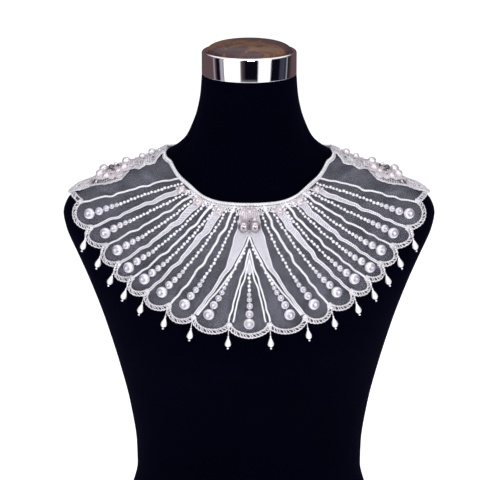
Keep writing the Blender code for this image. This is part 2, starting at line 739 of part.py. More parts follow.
def make_strings():
    """A string of graduated pearls down every lobe, ending in one big pearl near the hem."""
    for lobe in range(LOBES):
        row = named(STRING_COLUMNS, STRING_ROWS)[min(lobe, LOBES - 1 - lobe)]
        pearl_t = row["pearl"]
        middle = np.array([lobe + 0.5])
        length = column_length(middle)[0]
        reach = hem_reach(middle)[0]
        rows = np.sort(rows_between(row["begins"] / reach, pearl_t / reach) * reach)[::-1]
        along, girth = bead_profile((pearl_t - rows) * length)
        t = pearl_t - along / length
        q = string_line(lobe, t)
        centres = cape_point(q, t, TRIM_FLOOR + girth)
        normals = cape_point(q, t, TRIM_FLOOR + girth + 1.0) - centres
        beaded_tube(f"pearl_string_{lobe + 1:02d}", centres, normals, girth, pearl())


DROP_COLUMNS = ("down", "radius")
DROP_ROWS = (
    (0.0, 0.45),
    (8.5, 0.45),
    (16.5, 3.0),
    (19.0, 1.9),
    (22.0, 0.7),
)
DROP_HEADS = (1.55, 3.15)   # how far its thread starts over the braid's foot: at the centre, at the sides
DROP_LIFTS = (6.0, 12.0)    # how far the foot of a drop stands off the form: at the centre, at the sides


def make_drops():
    """A teardrop on a short thread at every valley of the hem, hanging straight down.

    Beside the shoulders the next lobe lies behind the drop, so the drop leans out over its braid.
    """
    rows = named(DROP_COLUMNS, DROP_ROWS)
    down = np.array([row["down"] for row in rows])
    radius = np.array([row["radius"] for row in rows])
    facing = np.tile([0.0, -1.0, 0.0], (len(rows), 1))
    for valley in range(1, LOBES):
        q = np.array([float(valley)])
        aside = min(abs(place(q, 1.0)[0][0]) / math.radians(70), 1.0)
        over = DROP_HEADS[0] + (DROP_HEADS[1] - DROP_HEADS[0]) * aside ** 3
        top = cape_point(q, 1.0 + DROP_START / column_length(q), TRIM_FLOOR + over)[0]
        foot_z = np.array([top[2] - down[-1]])
        depth = section_depth(section(foot_z), abs(top[0]), "front")
        below = np.arctan2(abs(top[0]), depth) * np.sign(top[0])
        near = skin(below, foot_z, np.zeros(1))[0]
        foot = skin(below, foot_z, np.full(1, DROP_LIFTS[0] + (DROP_LIFTS[1] - DROP_LIFTS[0]) * aside))[0]
        outward = (foot - near)[:2]
        if np.dot(top[:2] - foot[:2], outward) > 0:
            foot = np.array([top[0], top[1], foot[2]])
        share = (down / down[-1])[:, None]
        centres = top * (1 - share) + foot * share
        beaded_tube(f"drop_{valley:02d}", centres, facing, radius, pearl())


# ---- lace and flower -----------------------------------------------------------------------------
LACE_EDGES = (0.135, 0.37)  # from and to, half way round the back: the ridge of the shoulder is near 0.3
LACE_RUN = (0.02, 1.05)     # from the neckline to just past the hem, where the lace ends in a leaf tip
LACE_LENGTH = 105.0
LACE_WIDTH = 49.0
LACE_COLUMNS = 9
LACE_TIP = (0.70, 0.42)     # from this share of its length it narrows, by this share of its width a side
LACE_SCALLOP = (0.05, 34.0) # depth of its edge's waves as a share of the width, radians along the length
LACE_STEP = (0.72, 0.12)    # from this t, over this run of t, it climbs onto the hem braid
LACE_LIFT = 0.4             # a little more room than a cord needs, because its columns lie further apart


def make_lace():
    """The raised guipure along each shoulder: a scalloped wall that rises in flowers and ends in a tip."""
    along = np.concatenate([[LACE_RUN[0]], rows_between(0.05, 0.93), [LACE_RUN[1]]])
    share = (along - along[0]) / (along[-1] - along[0])
    narrowing = LACE_TIP[1] * np.clip((share - LACE_TIP[0]) / (1 - LACE_TIP[0]), 0, 1) ** 1.2
    half = 0.5 - narrowing + LACE_SCALLOP[0] * np.sin(share * LACE_SCALLOP[1])
    across = 0.5 + half[:, None] * np.linspace(-1, 1, LACE_COLUMNS)[None, :]
    around = LACE_EDGES[0] + (LACE_EDGES[1] - LACE_EDGES[0]) * across
    rise = np.zeros_like(around)
    for row in named(FLOWER_COLUMNS, FLOWER_ROWS):
        far_along = (share[:, None] - row["along"]) * LACE_LENGTH
        far_across = (across - row["across"]) * LACE_WIDTH
        rise += row["height"] * np.exp(-(far_along ** 2 + far_across ** 2) / row["radius"] ** 2)
    t = along[:, None] + 0 * around
    step_up = LACE_LIFT + BRAID_HEIGHT * np.clip((t - LACE_STEP[0]) / LACE_STEP[1], 0, 1)
    for side, q in (("left", LOBES + BACK_SPAN * around / 2), ("right", ROUND - BACK_SPAN * around / 2)):
        low = cape_point(q, t, TRIM_FLOOR + step_up)
        high = cape_point(q, t, TRIM_FLOOR + step_up + LACE_THICKNESS + rise)
        wall(f"shoulder_lace_{side}", low, high, lace())


BLOOM_COLUMNS = ("t", "half_width", "over_satin")
BLOOM_ROWS = (
    (0.045, 4.0, 0),
    (0.075, 7.5, 0),
    (0.130, 9.0, 1),
    (0.200, 6.5, 1),
)
BLOOM_EDGE = 0.9            # thickness of the flower at its rim, and how much more in the middle
BLOOM_RISE = 2.8


def make_flower():
    """The small beaded flower where the centre V springs from the neckline."""
    rows = named(BLOOM_COLUMNS, BLOOM_ROWS)
    t, half, over_satin = (np.array([row[name] for row in rows], float)[:, None] for name in BLOOM_COLUMNS)
    across = np.linspace(-1, 1, 5)[None, :]
    gap = lobe_width(np.array([LOBES / 2]), np.array([t.mean()]))[0]
    q = LOBES / 2 + half * across / gap
    floor = TRIM_FLOOR + (CORD_HEIGHT + SEAM) * over_satin
    high = TRIM_FLOOR + CORD_HEIGHT + BLOOM_EDGE + BLOOM_RISE * (1 - across ** 2) + 0 * t
    wall("centre_flower", cape_point(q, t + 0 * q, floor + 0 * q), cape_point(q, t + 0 * q, high), pearl())


def drape():
    """Everything, in the order that it is put on the form."""
    for old in list(bpy.data.objects):
        bpy.data.objects.remove(old, do_unlink=True)
    make_form()
    make_cap()
    make_cloth()
    make_binding()
    make_braid()
    make_rays()
    make_centre()
    make_strings()
    make_drops()
    make_lace()
    make_flower()


drape()
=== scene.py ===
# %% [markdown]
# # A bridal cape on a dress form
# This lesson dresses a plain model of a bridal shoulder cape: fine tulle in a fan of lobes, embroidered
# with satin rays and strings of pearls, edged with a crocheted braid and teardrops, and joined over the
# shoulders by raised lace. It rests on a black velvet form with a chrome neck band. All that is sewn on
# follows the tulle, so the lesson first works out the cloth as a function of two parameters, and then
# lays every cord, bead and petal on that same function.

import math

import bmesh
import bpy
import numpy as np
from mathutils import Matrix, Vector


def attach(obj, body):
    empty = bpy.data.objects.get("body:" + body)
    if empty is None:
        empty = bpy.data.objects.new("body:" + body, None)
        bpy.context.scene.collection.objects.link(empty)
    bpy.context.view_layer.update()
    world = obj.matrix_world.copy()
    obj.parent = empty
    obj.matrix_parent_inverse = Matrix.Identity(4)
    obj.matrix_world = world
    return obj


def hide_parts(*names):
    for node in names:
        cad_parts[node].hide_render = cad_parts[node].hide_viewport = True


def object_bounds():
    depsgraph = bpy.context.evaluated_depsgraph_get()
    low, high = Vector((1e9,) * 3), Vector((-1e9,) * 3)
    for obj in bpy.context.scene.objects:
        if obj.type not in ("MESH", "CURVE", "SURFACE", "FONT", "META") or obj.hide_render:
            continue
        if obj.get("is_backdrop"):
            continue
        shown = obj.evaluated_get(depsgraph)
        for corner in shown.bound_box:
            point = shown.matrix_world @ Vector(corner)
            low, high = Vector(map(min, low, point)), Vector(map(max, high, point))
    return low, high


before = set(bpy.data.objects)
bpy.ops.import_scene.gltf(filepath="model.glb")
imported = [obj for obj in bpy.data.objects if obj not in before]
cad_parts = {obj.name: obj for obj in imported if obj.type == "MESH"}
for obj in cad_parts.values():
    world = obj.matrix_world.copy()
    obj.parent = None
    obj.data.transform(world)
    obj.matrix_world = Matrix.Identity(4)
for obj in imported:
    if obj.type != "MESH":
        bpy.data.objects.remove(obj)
cad_low, cad_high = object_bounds()
bpy.context.scene.view_settings.view_transform = "Standard"
MM = 0.001
UP = np.array([0.0, 0.0, 1.0])
print("solids:", len(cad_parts), "box in mm:", [round((b - a) / MM) for a, b in zip(cad_low, cad_high)])

# %% [markdown]
# ## The form's skin
# The body is a stack of level sections. Short tables hold its sizes in millimetres, and a monotone cubic
# runs through each column, so that nothing bulges between the rows. The solids were drawn from the same
# tables, which is why the fine surfaces made here lie exactly where the plain ones were.

# %% Tables and the curves through them
FORM_COLUMNS = ("height", "half_width", "wing", "core_width", "front", "back", "core_power")
FORM_ROWS = (
    (0, 141, 66, 141, 106, 108, 0.6),
    (8, 146, 68, 146, 109, 111, 0.6),
    (40, 138.5, 66.5, 138.5, 103, 104.5, 0.6),
    (75, 122.5, 61, 122.5, 93.5, 90, 0.6),
    (104, 116, 58, 116, 88, 79, 0.6),
    (126, 116.5, 58, 116.5, 89.5, 77, 0.6),
    (170, 122.5, 60, 124, 99, 80, 0.7),
    (214, 133, 63, 136, 112, 87, 0.8),
    (257, 146, 66, 147, 121, 93, 0.8),
    (300, 161.5, 67, 153, 119, 98, 0.8),
    (335, 176.3, 65, 152, 109, 99.5, 0.8),
    (346, 181.3, 63.3, 149, 104.6, 98.6, 0.8),
    (357, 185.5, 61, 145, 100, 97.5, 0.8),
    (373, 188.5, 57, 136, 93.5, 95.5, 0.8),
    (385, 184.6, 54, 127, 89, 93, 0.8),
    (394, 174.5, 51, 119, 86, 90.5, 0.8),
    (405, 154.5, 47.5, 109, 81.5, 86.5, 0.8),
    (415, 132, 44, 97, 76.5, 81.5, 0.75),
    (425, 108.5, 40.5, 84, 71.5, 75.5, 0.7),
    (433, 88.5, 37, 74, 67, 70, 0.62),
    (441, 73.5, 34, 66, 63, 65, 0.55),
    (450, 64, 31, 60, 58, 60, 0.5),
    (462, 58, 28, 55, 54, 55, 0.5),
    (477, 52.6, 26, 52, 51, 51.5, 0.5),
    (496, 49, 22, 49, 48.5, 48.5, 0.5),
    (514, 47.6, 20, 47.6, 47.5, 47.5, 0.5),
)
RAY_COLUMNS = ("ray", "neck_x", "neck_z", "hem_x", "hem_z", "bow")
RAY_ROWS = (
    (0, 66.5, 418.5, 168.4, 388, 0),
    (1, 56.5, 412.5, 157.4, 366, 0),
    (2, 51, 408.6, 141.8, 349.5, 1.5),
    (3, 44.5, 405, 128.3, 334, 2.5),
    (4, 33.5, 401.8, 115, 322, 3),
    (5, 25, 400.7, 99.5, 311.6, 3.5),
    (6, 13.5, 400.2, 77.7, 302, 4.5),
    (7, 6.5, 400, 53.9, 293.5, 5.5),
    (8, 2.2, 400, 19.5, 288, 3),
    (8.5, 0, 400, 0, 287, 0),
)
BACK_COLUMNS = ("around", "neck_azimuth", "neck_height", "hem_azimuth", "hem_height")
BACK_ROWS = (
    (0.15, 71.5, 430, 85.5, 391),
    (0.30, 90, 436, 92, 392),
    (0.42, 106, 432.5, 105, 388),
    (0.55, 122, 430.5, 118, 382),
    (0.80, 152, 431, 149, 357),
    (0.92, 168.5, 431.4, 168, 348),
    (1.00, 180, 431.5, 180, 346.5),
)


def named(columns, rows):
    """The rows of a table, each with its values under the columns' names."""
    return [dict(zip(columns, row)) for row in rows]


def curve(x, y):
    """A monotone cubic: between two places, Hermite's blend of their values and of their tangents, where a
    tangent is the harmonic mean of the slopes on its two sides, and level where they change sign."""
    step = np.diff(x)
    slope = np.diff(y) / step
    before, after = slope[:-1], slope[1:]
    near, far = 2 * step[1:] + step[:-1], step[1:] + 2 * step[:-1]
    same_way = before * after > 0
    safe_before, safe_after = np.where(same_way, before, 1.0), np.where(same_way, after, 1.0)
    inner = np.where(same_way, (near + far) / (near / safe_before + far / safe_after), 0.0)
    tangent = np.concatenate([slope[:1], inner, slope[-1:]])

    def read(at):
        at = np.clip(np.asarray(at, float), x[0], x[-1])
        i = np.clip(np.searchsorted(x, at) - 1, 0, len(x) - 2)
        h = x[i + 1] - x[i]
        s = (at - x[i]) / h
        value = (2 * s ** 3 - 3 * s ** 2 + 1) * y[i] + (3 * s ** 2 - 2 * s ** 3) * y[i + 1]
        return value + h * ((s ** 3 - 2 * s ** 2 + s) * tangent[i] + (s ** 3 - s ** 2) * tangent[i + 1])

    return read


def curves(columns, rows):
    """A curve for every column of a table, over the values in its first column."""
    first, *others = np.array(rows, float).T
    return {name: curve(first, values) for name, values in zip(columns[1:], others)}


FORM = curves(FORM_COLUMNS, FORM_ROWS)
RAY = curves(RAY_COLUMNS, RAY_ROWS)
print("shoulder width in mm:", round(2 * float(FORM["half_width"](373)), 1))

# %% [markdown]
# ## From sections to a skin
# In each section the shoulders are a flat slab with squarish ends, and the trunk swells out of it in
# front and behind. Cloth needs the skin's distance from the upright axis in any direction, and the way
# the skin faces there. Both are found once on a fine grid, which every later step only reads.

# %% The skin
WING_POWER, BLEND_POWER = 2.6, 2.5
FORM_TOP = 514.0
FARTHEST, LEAST_SINE, HALVINGS = 240.0, 0.2, 22
AZIMUTHS = np.radians(np.linspace(-180, 180, 721))
HEIGHTS = np.linspace(0, FORM_TOP, 515)


def section(z):
    """Every size of the form at a height."""
    return {name: read(z) for name, read in FORM.items()}


def section_depth(cut, x, side):
    """Depth at x = the slab and the trunk's swell, added as powers: (slab^p + swell^p)^(1/p). The slab
    is a superellipse, and the swell a parabola raised to the section's own power."""
    trunk = (cut[side] ** BLEND_POWER - cut["wing"] ** BLEND_POWER) ** (1 / BLEND_POWER)
    across = np.minimum(np.abs(x) / cut["half_width"], 1.0)
    slab = cut["wing"] * (1.0 - across ** WING_POWER) ** (1.0 / WING_POWER)
    swell = trunk * np.maximum(1.0 - (x / cut["core_width"]) ** 2, 0.0) ** cut["core_power"]
    return (slab ** BLEND_POWER + swell ** BLEND_POWER) ** (1 / BLEND_POWER)


def form_radius(azimuth, z):
    """Distance from the axis, found by halving the span between the axis and the section's far side."""
    azimuth, z = np.broadcast_arrays(azimuth, z)
    sine, cosine = np.abs(np.sin(azimuth)), np.cos(azimuth)
    cut = section(z)
    cut["reach"] = np.where(cosine > 0, cut["front"], cut["back"])
    near, far = np.zeros(z.shape), np.minimum(cut["half_width"] / np.maximum(sine, LEAST_SINE), FARTHEST)
    for _ in range(HALVINGS):
        middle = (near + far) / 2
        x = middle * sine
        inside = (section_depth(cut, x, "reach") > middle * np.abs(cosine)) & (x < cut["half_width"])
        near, far = np.where(inside, middle, near), np.where(inside, far, middle)
    return near


def bare_point(azimuth, z, radius):
    """Cylinder coordinates made x, y, z: azimuth 0 is the front, at -y."""
    return np.stack([radius * np.sin(azimuth), -radius * np.cos(azimuth), z + 0 * radius], axis=-1)


def unit(vectors):
    """The same directions, each one long."""
    return vectors / np.maximum(np.linalg.norm(vectors, axis=-1, keepdims=True), 1e-9)


RADII = form_radius(AZIMUTHS[:, None], HEIGHTS[None, :])
bare = bare_point(AZIMUTHS[:, None], HEIGHTS[None, :], RADII)
round_it = np.roll(bare[:-1], -2, axis=0) - np.roll(bare[:-1], 2, axis=0)
NORMALS = unit(np.cross(np.concatenate([round_it, round_it[:1]]), np.gradient(bare, axis=1)))


def skin(azimuth, z, lift):
    """The grid's four neighbours blended by nearness give radius and facing; lift moves out along it."""
    azimuth, z, lift = np.broadcast_arrays(azimuth, z, lift)
    a = (azimuth + math.pi) % (2 * math.pi) / (AZIMUTHS[1] - AZIMUTHS[0])
    h = np.clip(z, HEIGHTS[0], HEIGHTS[-1]) / (HEIGHTS[1] - HEIGHTS[0])
    i = np.clip(a.astype(int), 0, len(AZIMUTHS) - 2)
    j = np.clip(h.astype(int), 0, len(HEIGHTS) - 2)
    a, h = a - i, h - j
    weights = ((1 - a) * (1 - h), a * (1 - h), (1 - a) * h, a * h)
    corners = ((i, j), (i + 1, j), (i, j + 1), (i + 1, j + 1))
    radius = sum(w * RADII[c] for w, c in zip(weights, corners))
    facing = unit(sum(w[..., None] * NORMALS[c] for w, c in zip(weights, corners)))
    return bare_point(azimuth, z, radius) + facing * lift[..., None]


print("skin grid:", RADII.shape)

# %% [markdown]
# ## The cloth as a function
# One number q runs once round the body: it counts the seventeen lobes of the embroidered fan, and goes
# on over the plain back. The other, t, runs from the neckline to the hem. The function turns them, and a
# height above the skin, into a point, so a cord is only a list of q and t, and it can't leave the cloth.

# %% The cloth
LOBES, BACK_SPAN = 17, 17
ROUND, CENTRE = LOBES + BACK_SPAN, LOBES / 2
SKIN_GAP, CLOTH = 0.9, 1.2
NET_LIFT = SKIN_GAP + CLOTH / 2
TRIM = NET_LIFT + 0.5
LOBE_DEPTH, LOBE_SWELL, LOBE_ROUND = 11.4, 1.6, 0.55
BACK_FADE = 0.3


def fan_place(q, t):
    """A ray is a straight run from neck to hem in the front view, plus a bow across it that follows a
    half wave of t^0.8; the depth comes from the form's section."""
    side = np.where(q < CENTRE, -1.0, 1.0)
    ray = np.where(q < CENTRE, q, LOBES - q)
    neck_x, neck_z, hem_x, hem_z, most = (read(ray) for read in RAY.values())
    run_x, run_z = hem_x - neck_x, hem_z - neck_z
    length = np.hypot(run_x, run_z)
    bow = most * np.sin(math.pi * np.clip(t, 0, 1) ** 0.8)
    x = neck_x + run_x * t + bow * run_z / length
    z = neck_z + run_z * t - bow * run_x / length
    return side * np.arctan2(x, section_depth(section(z), x, "front")), z


FAN_END = [fan_place(np.array([float(LOBES)]), np.array([end])) for end in (0.0, 1.0)]
NECK_END, HEM_END = [(math.degrees(a[0]), z[0]) for a, z in FAN_END]
BACK = curves(BACK_COLUMNS, ((0.0, *NECK_END, *HEM_END),) + BACK_ROWS)


def back_place(q, t):
    """Straight blends of neckline and hem in azimuth and height, eased into the fan's outermost rays."""
    span = (q - LOBES) / BACK_SPAN
    around = np.minimum(2 * span, 2 - 2 * span)
    edge_azimuth, edge_z = fan_place(0 * around + LOBES, t)
    azimuth = np.radians(BACK["neck_azimuth"](around) * (1 - t) + BACK["hem_azimuth"](around) * t)
    height = BACK["neck_height"](around) * (1 - t) + BACK["hem_height"](around) * t
    fade = np.clip(1 - around / BACK_FADE, 0, 1) ** 2
    azimuth = azimuth + fade * (edge_azimuth - np.radians(NECK_END[0] * (1 - t) + HEM_END[0] * t))
    height = height + fade * (edge_z - (NECK_END[1] * (1 - t) + HEM_END[1] * t))
    return np.where(span < 0.5, 1.0, -1.0) * azimuth, height


def place(q, t):
    """Azimuth and height anywhere on the cape."""
    q = np.mod(np.asarray(q, float), ROUND)
    fan, back = fan_place(np.minimum(q, LOBES), t), back_place(np.maximum(q, LOBES), t)
    return [np.where(q <= LOBES, of_fan, of_back) for of_fan, of_back in zip(fan, back)]


def cloth(q, t, lift):
    """The skin at q and t, moved out by lift and by a swell (1 - cos) that is zero on the rays."""
    q, t, lift = np.broadcast_arrays(np.asarray(q, float), np.asarray(t, float), np.asarray(lift, float))
    swell = LOBE_SWELL * (1 - np.cos(2 * math.pi * q)) / 2 * np.clip(t, 0, 1) ** 2
    return skin(*place(q, t), lift + np.where(np.mod(q, ROUND) < LOBES, swell, 0.0))


Q_TABLE = np.linspace(0, ROUND, 1361)
LENGTH_TABLE = np.linalg.norm(cloth(Q_TABLE, 1.0, 0.0) - cloth(Q_TABLE, 0.0, 0.0), axis=-1)


def column_length(q):
    """Straight distance from neckline to hem, for turning millimetres into t."""
    return np.interp(np.mod(q, ROUND), Q_TABLE, LENGTH_TABLE)


def hem_reach(q):
    """t at the cloth's edge: 1 in the valleys, and over a lobe an arc of 4x(1-x), to a power, more."""
    across = np.where(np.mod(q, ROUND) < LOBES, np.mod(q, 1.0), 0.0)
    return 1.0 + LOBE_DEPTH * np.clip(4 * across * (1 - across), 0, 1) ** LOBE_ROUND / column_length(q)


def lobe_width(q, t):
    """Width of one lobe in millimetres at q and t, for turning millimetres into q."""
    step = 0.05
    return np.linalg.norm(cloth(q + step, t, 0.0) - cloth(q - step, t, 0.0), axis=-1) / (2 * step)


print("neckline to hem at the front, in mm:", round(float(column_length(CENTRE)), 1))

# %% [markdown]
# ## Mesh helpers
# A cord is a ring of points carried along a path, a pearl is a ball set on a point, and a petal is a
# small domed shell. Each helper works out whole arrays at once and returns points, faces and flat
# places, so that hundreds of beads can be joined into one mesh before Blender sees them.

# %% Points and faces
TWIST = 0.6


def join(parts):
    """One mesh from several, by counting the points before each."""
    faces, before = [], 0
    for points, part_faces, _ in parts:
        faces += [tuple(int(corner) + before for corner in face) for face in part_faces]
        before += len(points)
    return np.concatenate([part[0] for part in parts]), faces, np.concatenate([part[2] for part in parts])


def grid_faces(rows, columns, wrap_rows=False, wrap_columns=False):
    """Quads of a grid of points numbered row by row, with its last row or column joined to the first."""
    i = np.arange(rows if wrap_rows else rows - 1)[:, None]
    j = np.arange(columns if wrap_columns else columns - 1)[None, :]
    below, right = (i + 1) % rows, (j + 1) % columns
    corners = (i * columns + j, below * columns + j, below * columns + right, i * columns + right)
    return np.stack([corner + 0 * i * j for corner in corners], axis=-1).reshape(-1, 4).tolist()


def run(path, axis=0):
    """Distance along a path, or along every line of a grid, from its first point."""
    steps = np.linalg.norm(np.diff(path, axis=axis), axis=-1)
    return np.concatenate([0 * steps.take([0], axis=axis), np.cumsum(steps, axis=axis)], axis=axis)


def read_line(at, distance, line):
    """Points of a line at given distances along it."""
    return np.stack([np.interp(at, distance, line[:, k]) for k in range(3)], axis=-1)


def headings(path, closed):
    """Which way a path runs at each of its points."""
    return unit(np.roll(path, -1, axis=0) - np.roll(path, 1, axis=0) if closed else np.gradient(path, axis=0))


def tube(path, up, radius, sides=6, closed=False):
    """A round of `sides` points at every path point: path + r (cos a * across + sin a * outward), where
    outward is the part of up that is square to the path. The flat place is the distance along the cord,
    slanted by the way round it, so that ridges on it wind like a twist."""
    ahead = headings(path, closed)
    across = unit(np.cross(ahead, up))
    outward = np.cross(across, ahead)
    angle = 2 * math.pi * (np.arange(sides) + 0.5) / sides - math.pi / 2
    radius = np.broadcast_to(np.asarray(radius, float), len(path))[:, None]
    rounds = path[:, None] + radius[..., None] * (np.cos(angle)[None, :, None] * across[:, None]
                                                  + np.sin(angle)[None, :, None] * outward[:, None])
    girth = radius * angle[None]
    flat = np.stack([run(path)[:, None] + TWIST * girth, girth], axis=-1).reshape(-1, 2) * MM
    faces = grid_faces(len(path), sides, wrap_rows=closed, wrap_columns=True)
    if not closed:
        last = (len(path) - 1) * sides
        faces += [list(range(sides))[::-1], list(range(last, last + sides))]
    return rounds.reshape(-1, 3), faces, flat


def shell(top, bottom):
    """A closed wall between two grids of points of the same size, joined round their border."""
    rows, columns = top.shape[:2]
    under = rows * columns
    faces = grid_faces(rows, columns)
    faces += [[corner + under for corner in reversed(face)] for face in faces]
    numbers = np.arange(under).reshape(rows, columns)
    border = np.concatenate([numbers[0, :-1], numbers[:-1, -1], numbers[-1, :0:-1], numbers[:0:-1, 0]])
    faces += [[a, b, b + under, a + under] for a, b in zip(border, np.roll(border, -1))]
    points = np.concatenate([top.reshape(-1, 3), bottom.reshape(-1, 3)])
    return points, faces, points[:, :2] * MM


def turned(profile, segments, poles=None):
    """Every profile point (radius, height) is carried round z. A hollow profile closes on itself, and a
    solid one closes on two poles: the heights, on the axis, next to its first and its last point."""
    profile = np.asarray(profile, float)
    angle = 2 * math.pi * np.arange(segments) / segments
    points = np.stack([profile[:, :1] * np.cos(angle), profile[:, :1] * np.sin(angle),
                       profile[:, 1:] + 0 * angle[None]], axis=-1).reshape(-1, 3)
    faces = grid_faces(len(profile), segments, wrap_rows=poles is None, wrap_columns=True)
    if poles:
        first, last, ring = len(points), len(points) + 1, (len(profile) - 1) * segments
        faces += [[first, k, (k + 1) % segments] for k in range(segments)]
        faces += [[last, ring + (k + 1) % segments, ring + k] for k in range(segments)]
        points = np.concatenate([points, [[0, 0, poles[0]], [0, 0, poles[1]]]])
    return points, faces, points[:, :2] * MM


def balls(centres, radii, segments=12, rings=8, axes=None):
    """Many balls at once: centre + r * unit ball, each with its poles along its axis. The flat place's
    second number is the angle from the outer pole, as a share of half a turn."""
    polar = math.pi * np.arange(1, rings) / rings
    points, faces, _ = turned(np.stack([np.sin(polar), np.cos(polar)], axis=-1), segments, poles=(1, -1))
    centres = np.atleast_2d(centres)
    radii = np.broadcast_to(np.asarray(radii, float), len(centres))
    laid = np.broadcast_to(points, (len(centres), *points.shape))
    if axes is not None:
        up = unit(np.atleast_2d(axes))
        side = unit(np.cross(up, np.array([0.31, 0.17, 0.93])))
        laid = (points[None, :, :1] * side[:, None] + points[None, :, 1:2] * np.cross(up, side)[:, None]
                + points[None, :, 2:] * up[:, None])
    placed = centres[:, None] + laid * radii[:, None, None]
    all_faces = [tuple(corner + n * len(points) for corner in face)
                 for n in range(len(centres)) for face in faces]
    from_pole = np.arccos(np.clip(points[:, 2], -1, 1)) / math.pi
    flat = np.tile(np.stack([0 * from_pole, from_pole], axis=-1), (len(centres), 1))
    return placed.reshape(-1, 3), all_faces, flat


def sewn_balls(lay, spots, radii, segments=20, rings=12):
    """Balls at flat spots that `lay` puts on the cloth, with their poles along the cloth's own upright."""
    spots = np.asarray(spots, float)
    centres = lay(spots)
    return balls(centres, radii, segments, rings, lay(spots + UP) - centres)


def piece(name, parts, material, stands_for=(), turn_out=False):
    """One object at the origin from points in millimetres, with its flat places as the UV map "cloth".
    It rides on the part's only body. With turn_out, every face of a closed piece is turned outwards."""
    points, faces, flat = parts
    mesh = bpy.data.meshes.new(name)
    mesh.from_pydata((np.asarray(points) * MM).tolist(), [], faces)
    corner = np.empty(len(mesh.loops), dtype=np.int32)
    mesh.loops.foreach_get("vertex_index", corner)
    mesh.uv_layers.new(name="cloth").data.foreach_set("uv", flat[corner].astype(np.float32).ravel())
    mesh.polygons.foreach_set("use_smooth", [True] * len(mesh.polygons))
    mesh.materials.append(material)
    mesh.validate()
    made = bpy.data.objects.new(name, mesh)
    bpy.context.scene.collection.objects.link(made)
    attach(made, "root")
    if stands_for:
        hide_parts(*stands_for)
    if turn_out:
        work = bmesh.new()
        work.from_mesh(mesh)
        bmesh.ops.recalc_face_normals(work, faces=work.faces)
        work.to_mesh(mesh)
        work.free()
    return made


# %% [markdown]
# ## Shared effects for the materials
# Three effects appear in several finishes, so each is a node group: a soft mottle that keeps large
# surfaces from looking dead, fine slanted ridges for satin and cord, and the diamond net of tulle. A
# group puts out only values that change over the surface, and fixed numbers stay on the shader itself.

# %% Node groups
def wire(tree, node, inputs):
    """Sets or links a node's inputs, given as {socket: number, colour, socket or node}. A node stands for
    its first output."""
    for key, value in inputs.items():
        socket = node.inputs[key]
        if isinstance(value, bpy.types.Node):
            value = value.outputs[0]
        if isinstance(value, bpy.types.NodeSocket):
            tree.links.new(value, socket)
        else:
            socket.default_value = (*value, 1.0) if socket.type == "RGBA" else value
    return node


def add(tree, kind, inputs=None, **settings):
    """Adds one shader node with its settings and its inputs."""
    node = tree.nodes.new("ShaderNode" + kind)
    for name, value in settings.items():
        setattr(node, name, value)
    return wire(tree, node, inputs or {})


def combine(tree, operation, *numbers):
    """One sum, product or other piece of arithmetic in a node."""
    return add(tree, "Math", dict(enumerate(numbers)), operation=operation)


def bands(tree, where, scale, bend=0.0, detail=0.0):
    """A sine wave across x, bent by noise."""
    wave = add(tree, "TexWave", {"Vector": where, "Scale": scale, "Distortion": bend, "Detail": detail},
               wave_type="BANDS", bands_direction="X", wave_profile="SIN")
    return wave.outputs["Fac"]


def group(name, numbers, result):
    """A node group with nothing in it yet, that takes a vector and numbers and puts out one number."""
    made = bpy.data.node_groups.new(name, "ShaderNodeTree")
    made.interface.new_socket(name="Vector", in_out="INPUT", socket_type="NodeSocketVector")
    for label, value in numbers.items():
        number = made.interface.new_socket(name=label, in_out="INPUT", socket_type="NodeSocketFloat")
        number.default_value = value
    made.interface.new_socket(name=result, in_out="OUTPUT", socket_type="NodeSocketFloat")
    return made, made.nodes.new("NodeGroupInput").outputs, made.nodes.new("NodeGroupOutput")


def make_mottle():
    """Noise between a low and a high value, at a size in cycles a metre."""
    tree, given, result = group("mottle", {"Scale": 60.0, "Low": 0.0, "High": 1.0}, "Value")
    noise = add(tree, "TexNoise", {"Vector": given["Vector"], "Scale": given["Scale"], "Detail": 4.0,
                                   "Roughness": 0.6}).outputs["Fac"]
    wire(tree, result, {"Value": add(tree, "MapRange", {"Value": noise, "From Min": 0.3, "From Max": 0.7,
                                                        "To Min": given["Low"], "To Max": given["High"]})})
    return tree


def make_threads():
    """Fine ridges across the vector's x. Pitch is in cycles a metre."""
    tree, given, result = group("threads", {"Pitch": 300.0, "Bend": 1.0}, "Ridge")
    wire(tree, result, {"Ridge": bands(tree, given["Vector"], given["Pitch"], given["Bend"], 2.0)})
    return tree


def make_net():
    """A diamond net: the larger of two families of thin ridges, at +-45 degrees, sharpened by a power."""
    tree, given, result = group("diamond_net", {"Pitch": 300.0}, "Thread")
    slants = [add(tree, "Mapping", {"Vector": given["Vector"], "Rotation": (0, 0, math.radians(turn))})
              for turn in (45, -45)]
    families = [bands(tree, slant, given["Pitch"]) for slant in slants]
    wire(tree, result, {"Thread": combine(tree, "POWER", combine(tree, "MAXIMUM", *families), 4.0)})
    return tree


MOTTLE, THREADS, NET = make_mottle(), make_threads(), make_net()
print("node groups:", MOTTLE.name, THREADS.name, NET.name)

# %% [markdown]
# ## The finishes
# Velvet swallows light and only glows at grazing angles, so it is nearly black with a little sheen. The tulle
# is mostly holes: its transparency follows the net, with lighter bands painted in as fold highlights. Satin
# and cord share one thread pattern at different pitches, and their colour is painted darker between the
# ridges as shade and lighter on them as sheen. A pearl is a smooth white body under a clear coat, which
# mirrors the dark form and the studio's windows; its colour adds a painted highlight at the outer pole and
# painted rim light round the waist.

# %% Materials
def finish(name):
    """A new material, its tree and its shader."""
    made = bpy.data.materials.new(name)
    made.use_nodes = True
    return made, made.node_tree, made.node_tree.nodes["Principled BSDF"]


def object_vector(tree):
    """Metres in the object's own axes."""
    return add(tree, "TexCoord").outputs["Object"]


def cloth_vector(tree):
    """The piece's flat places."""
    return add(tree, "UVMap", uv_map="cloth")


def mottled(tree, where, scale, low=0.0, high=1.0):
    """The mottle group, between two values."""
    return add(tree, "Group", {"Vector": where, "Scale": scale, "Low": low, "High": high}, node_tree=MOTTLE)


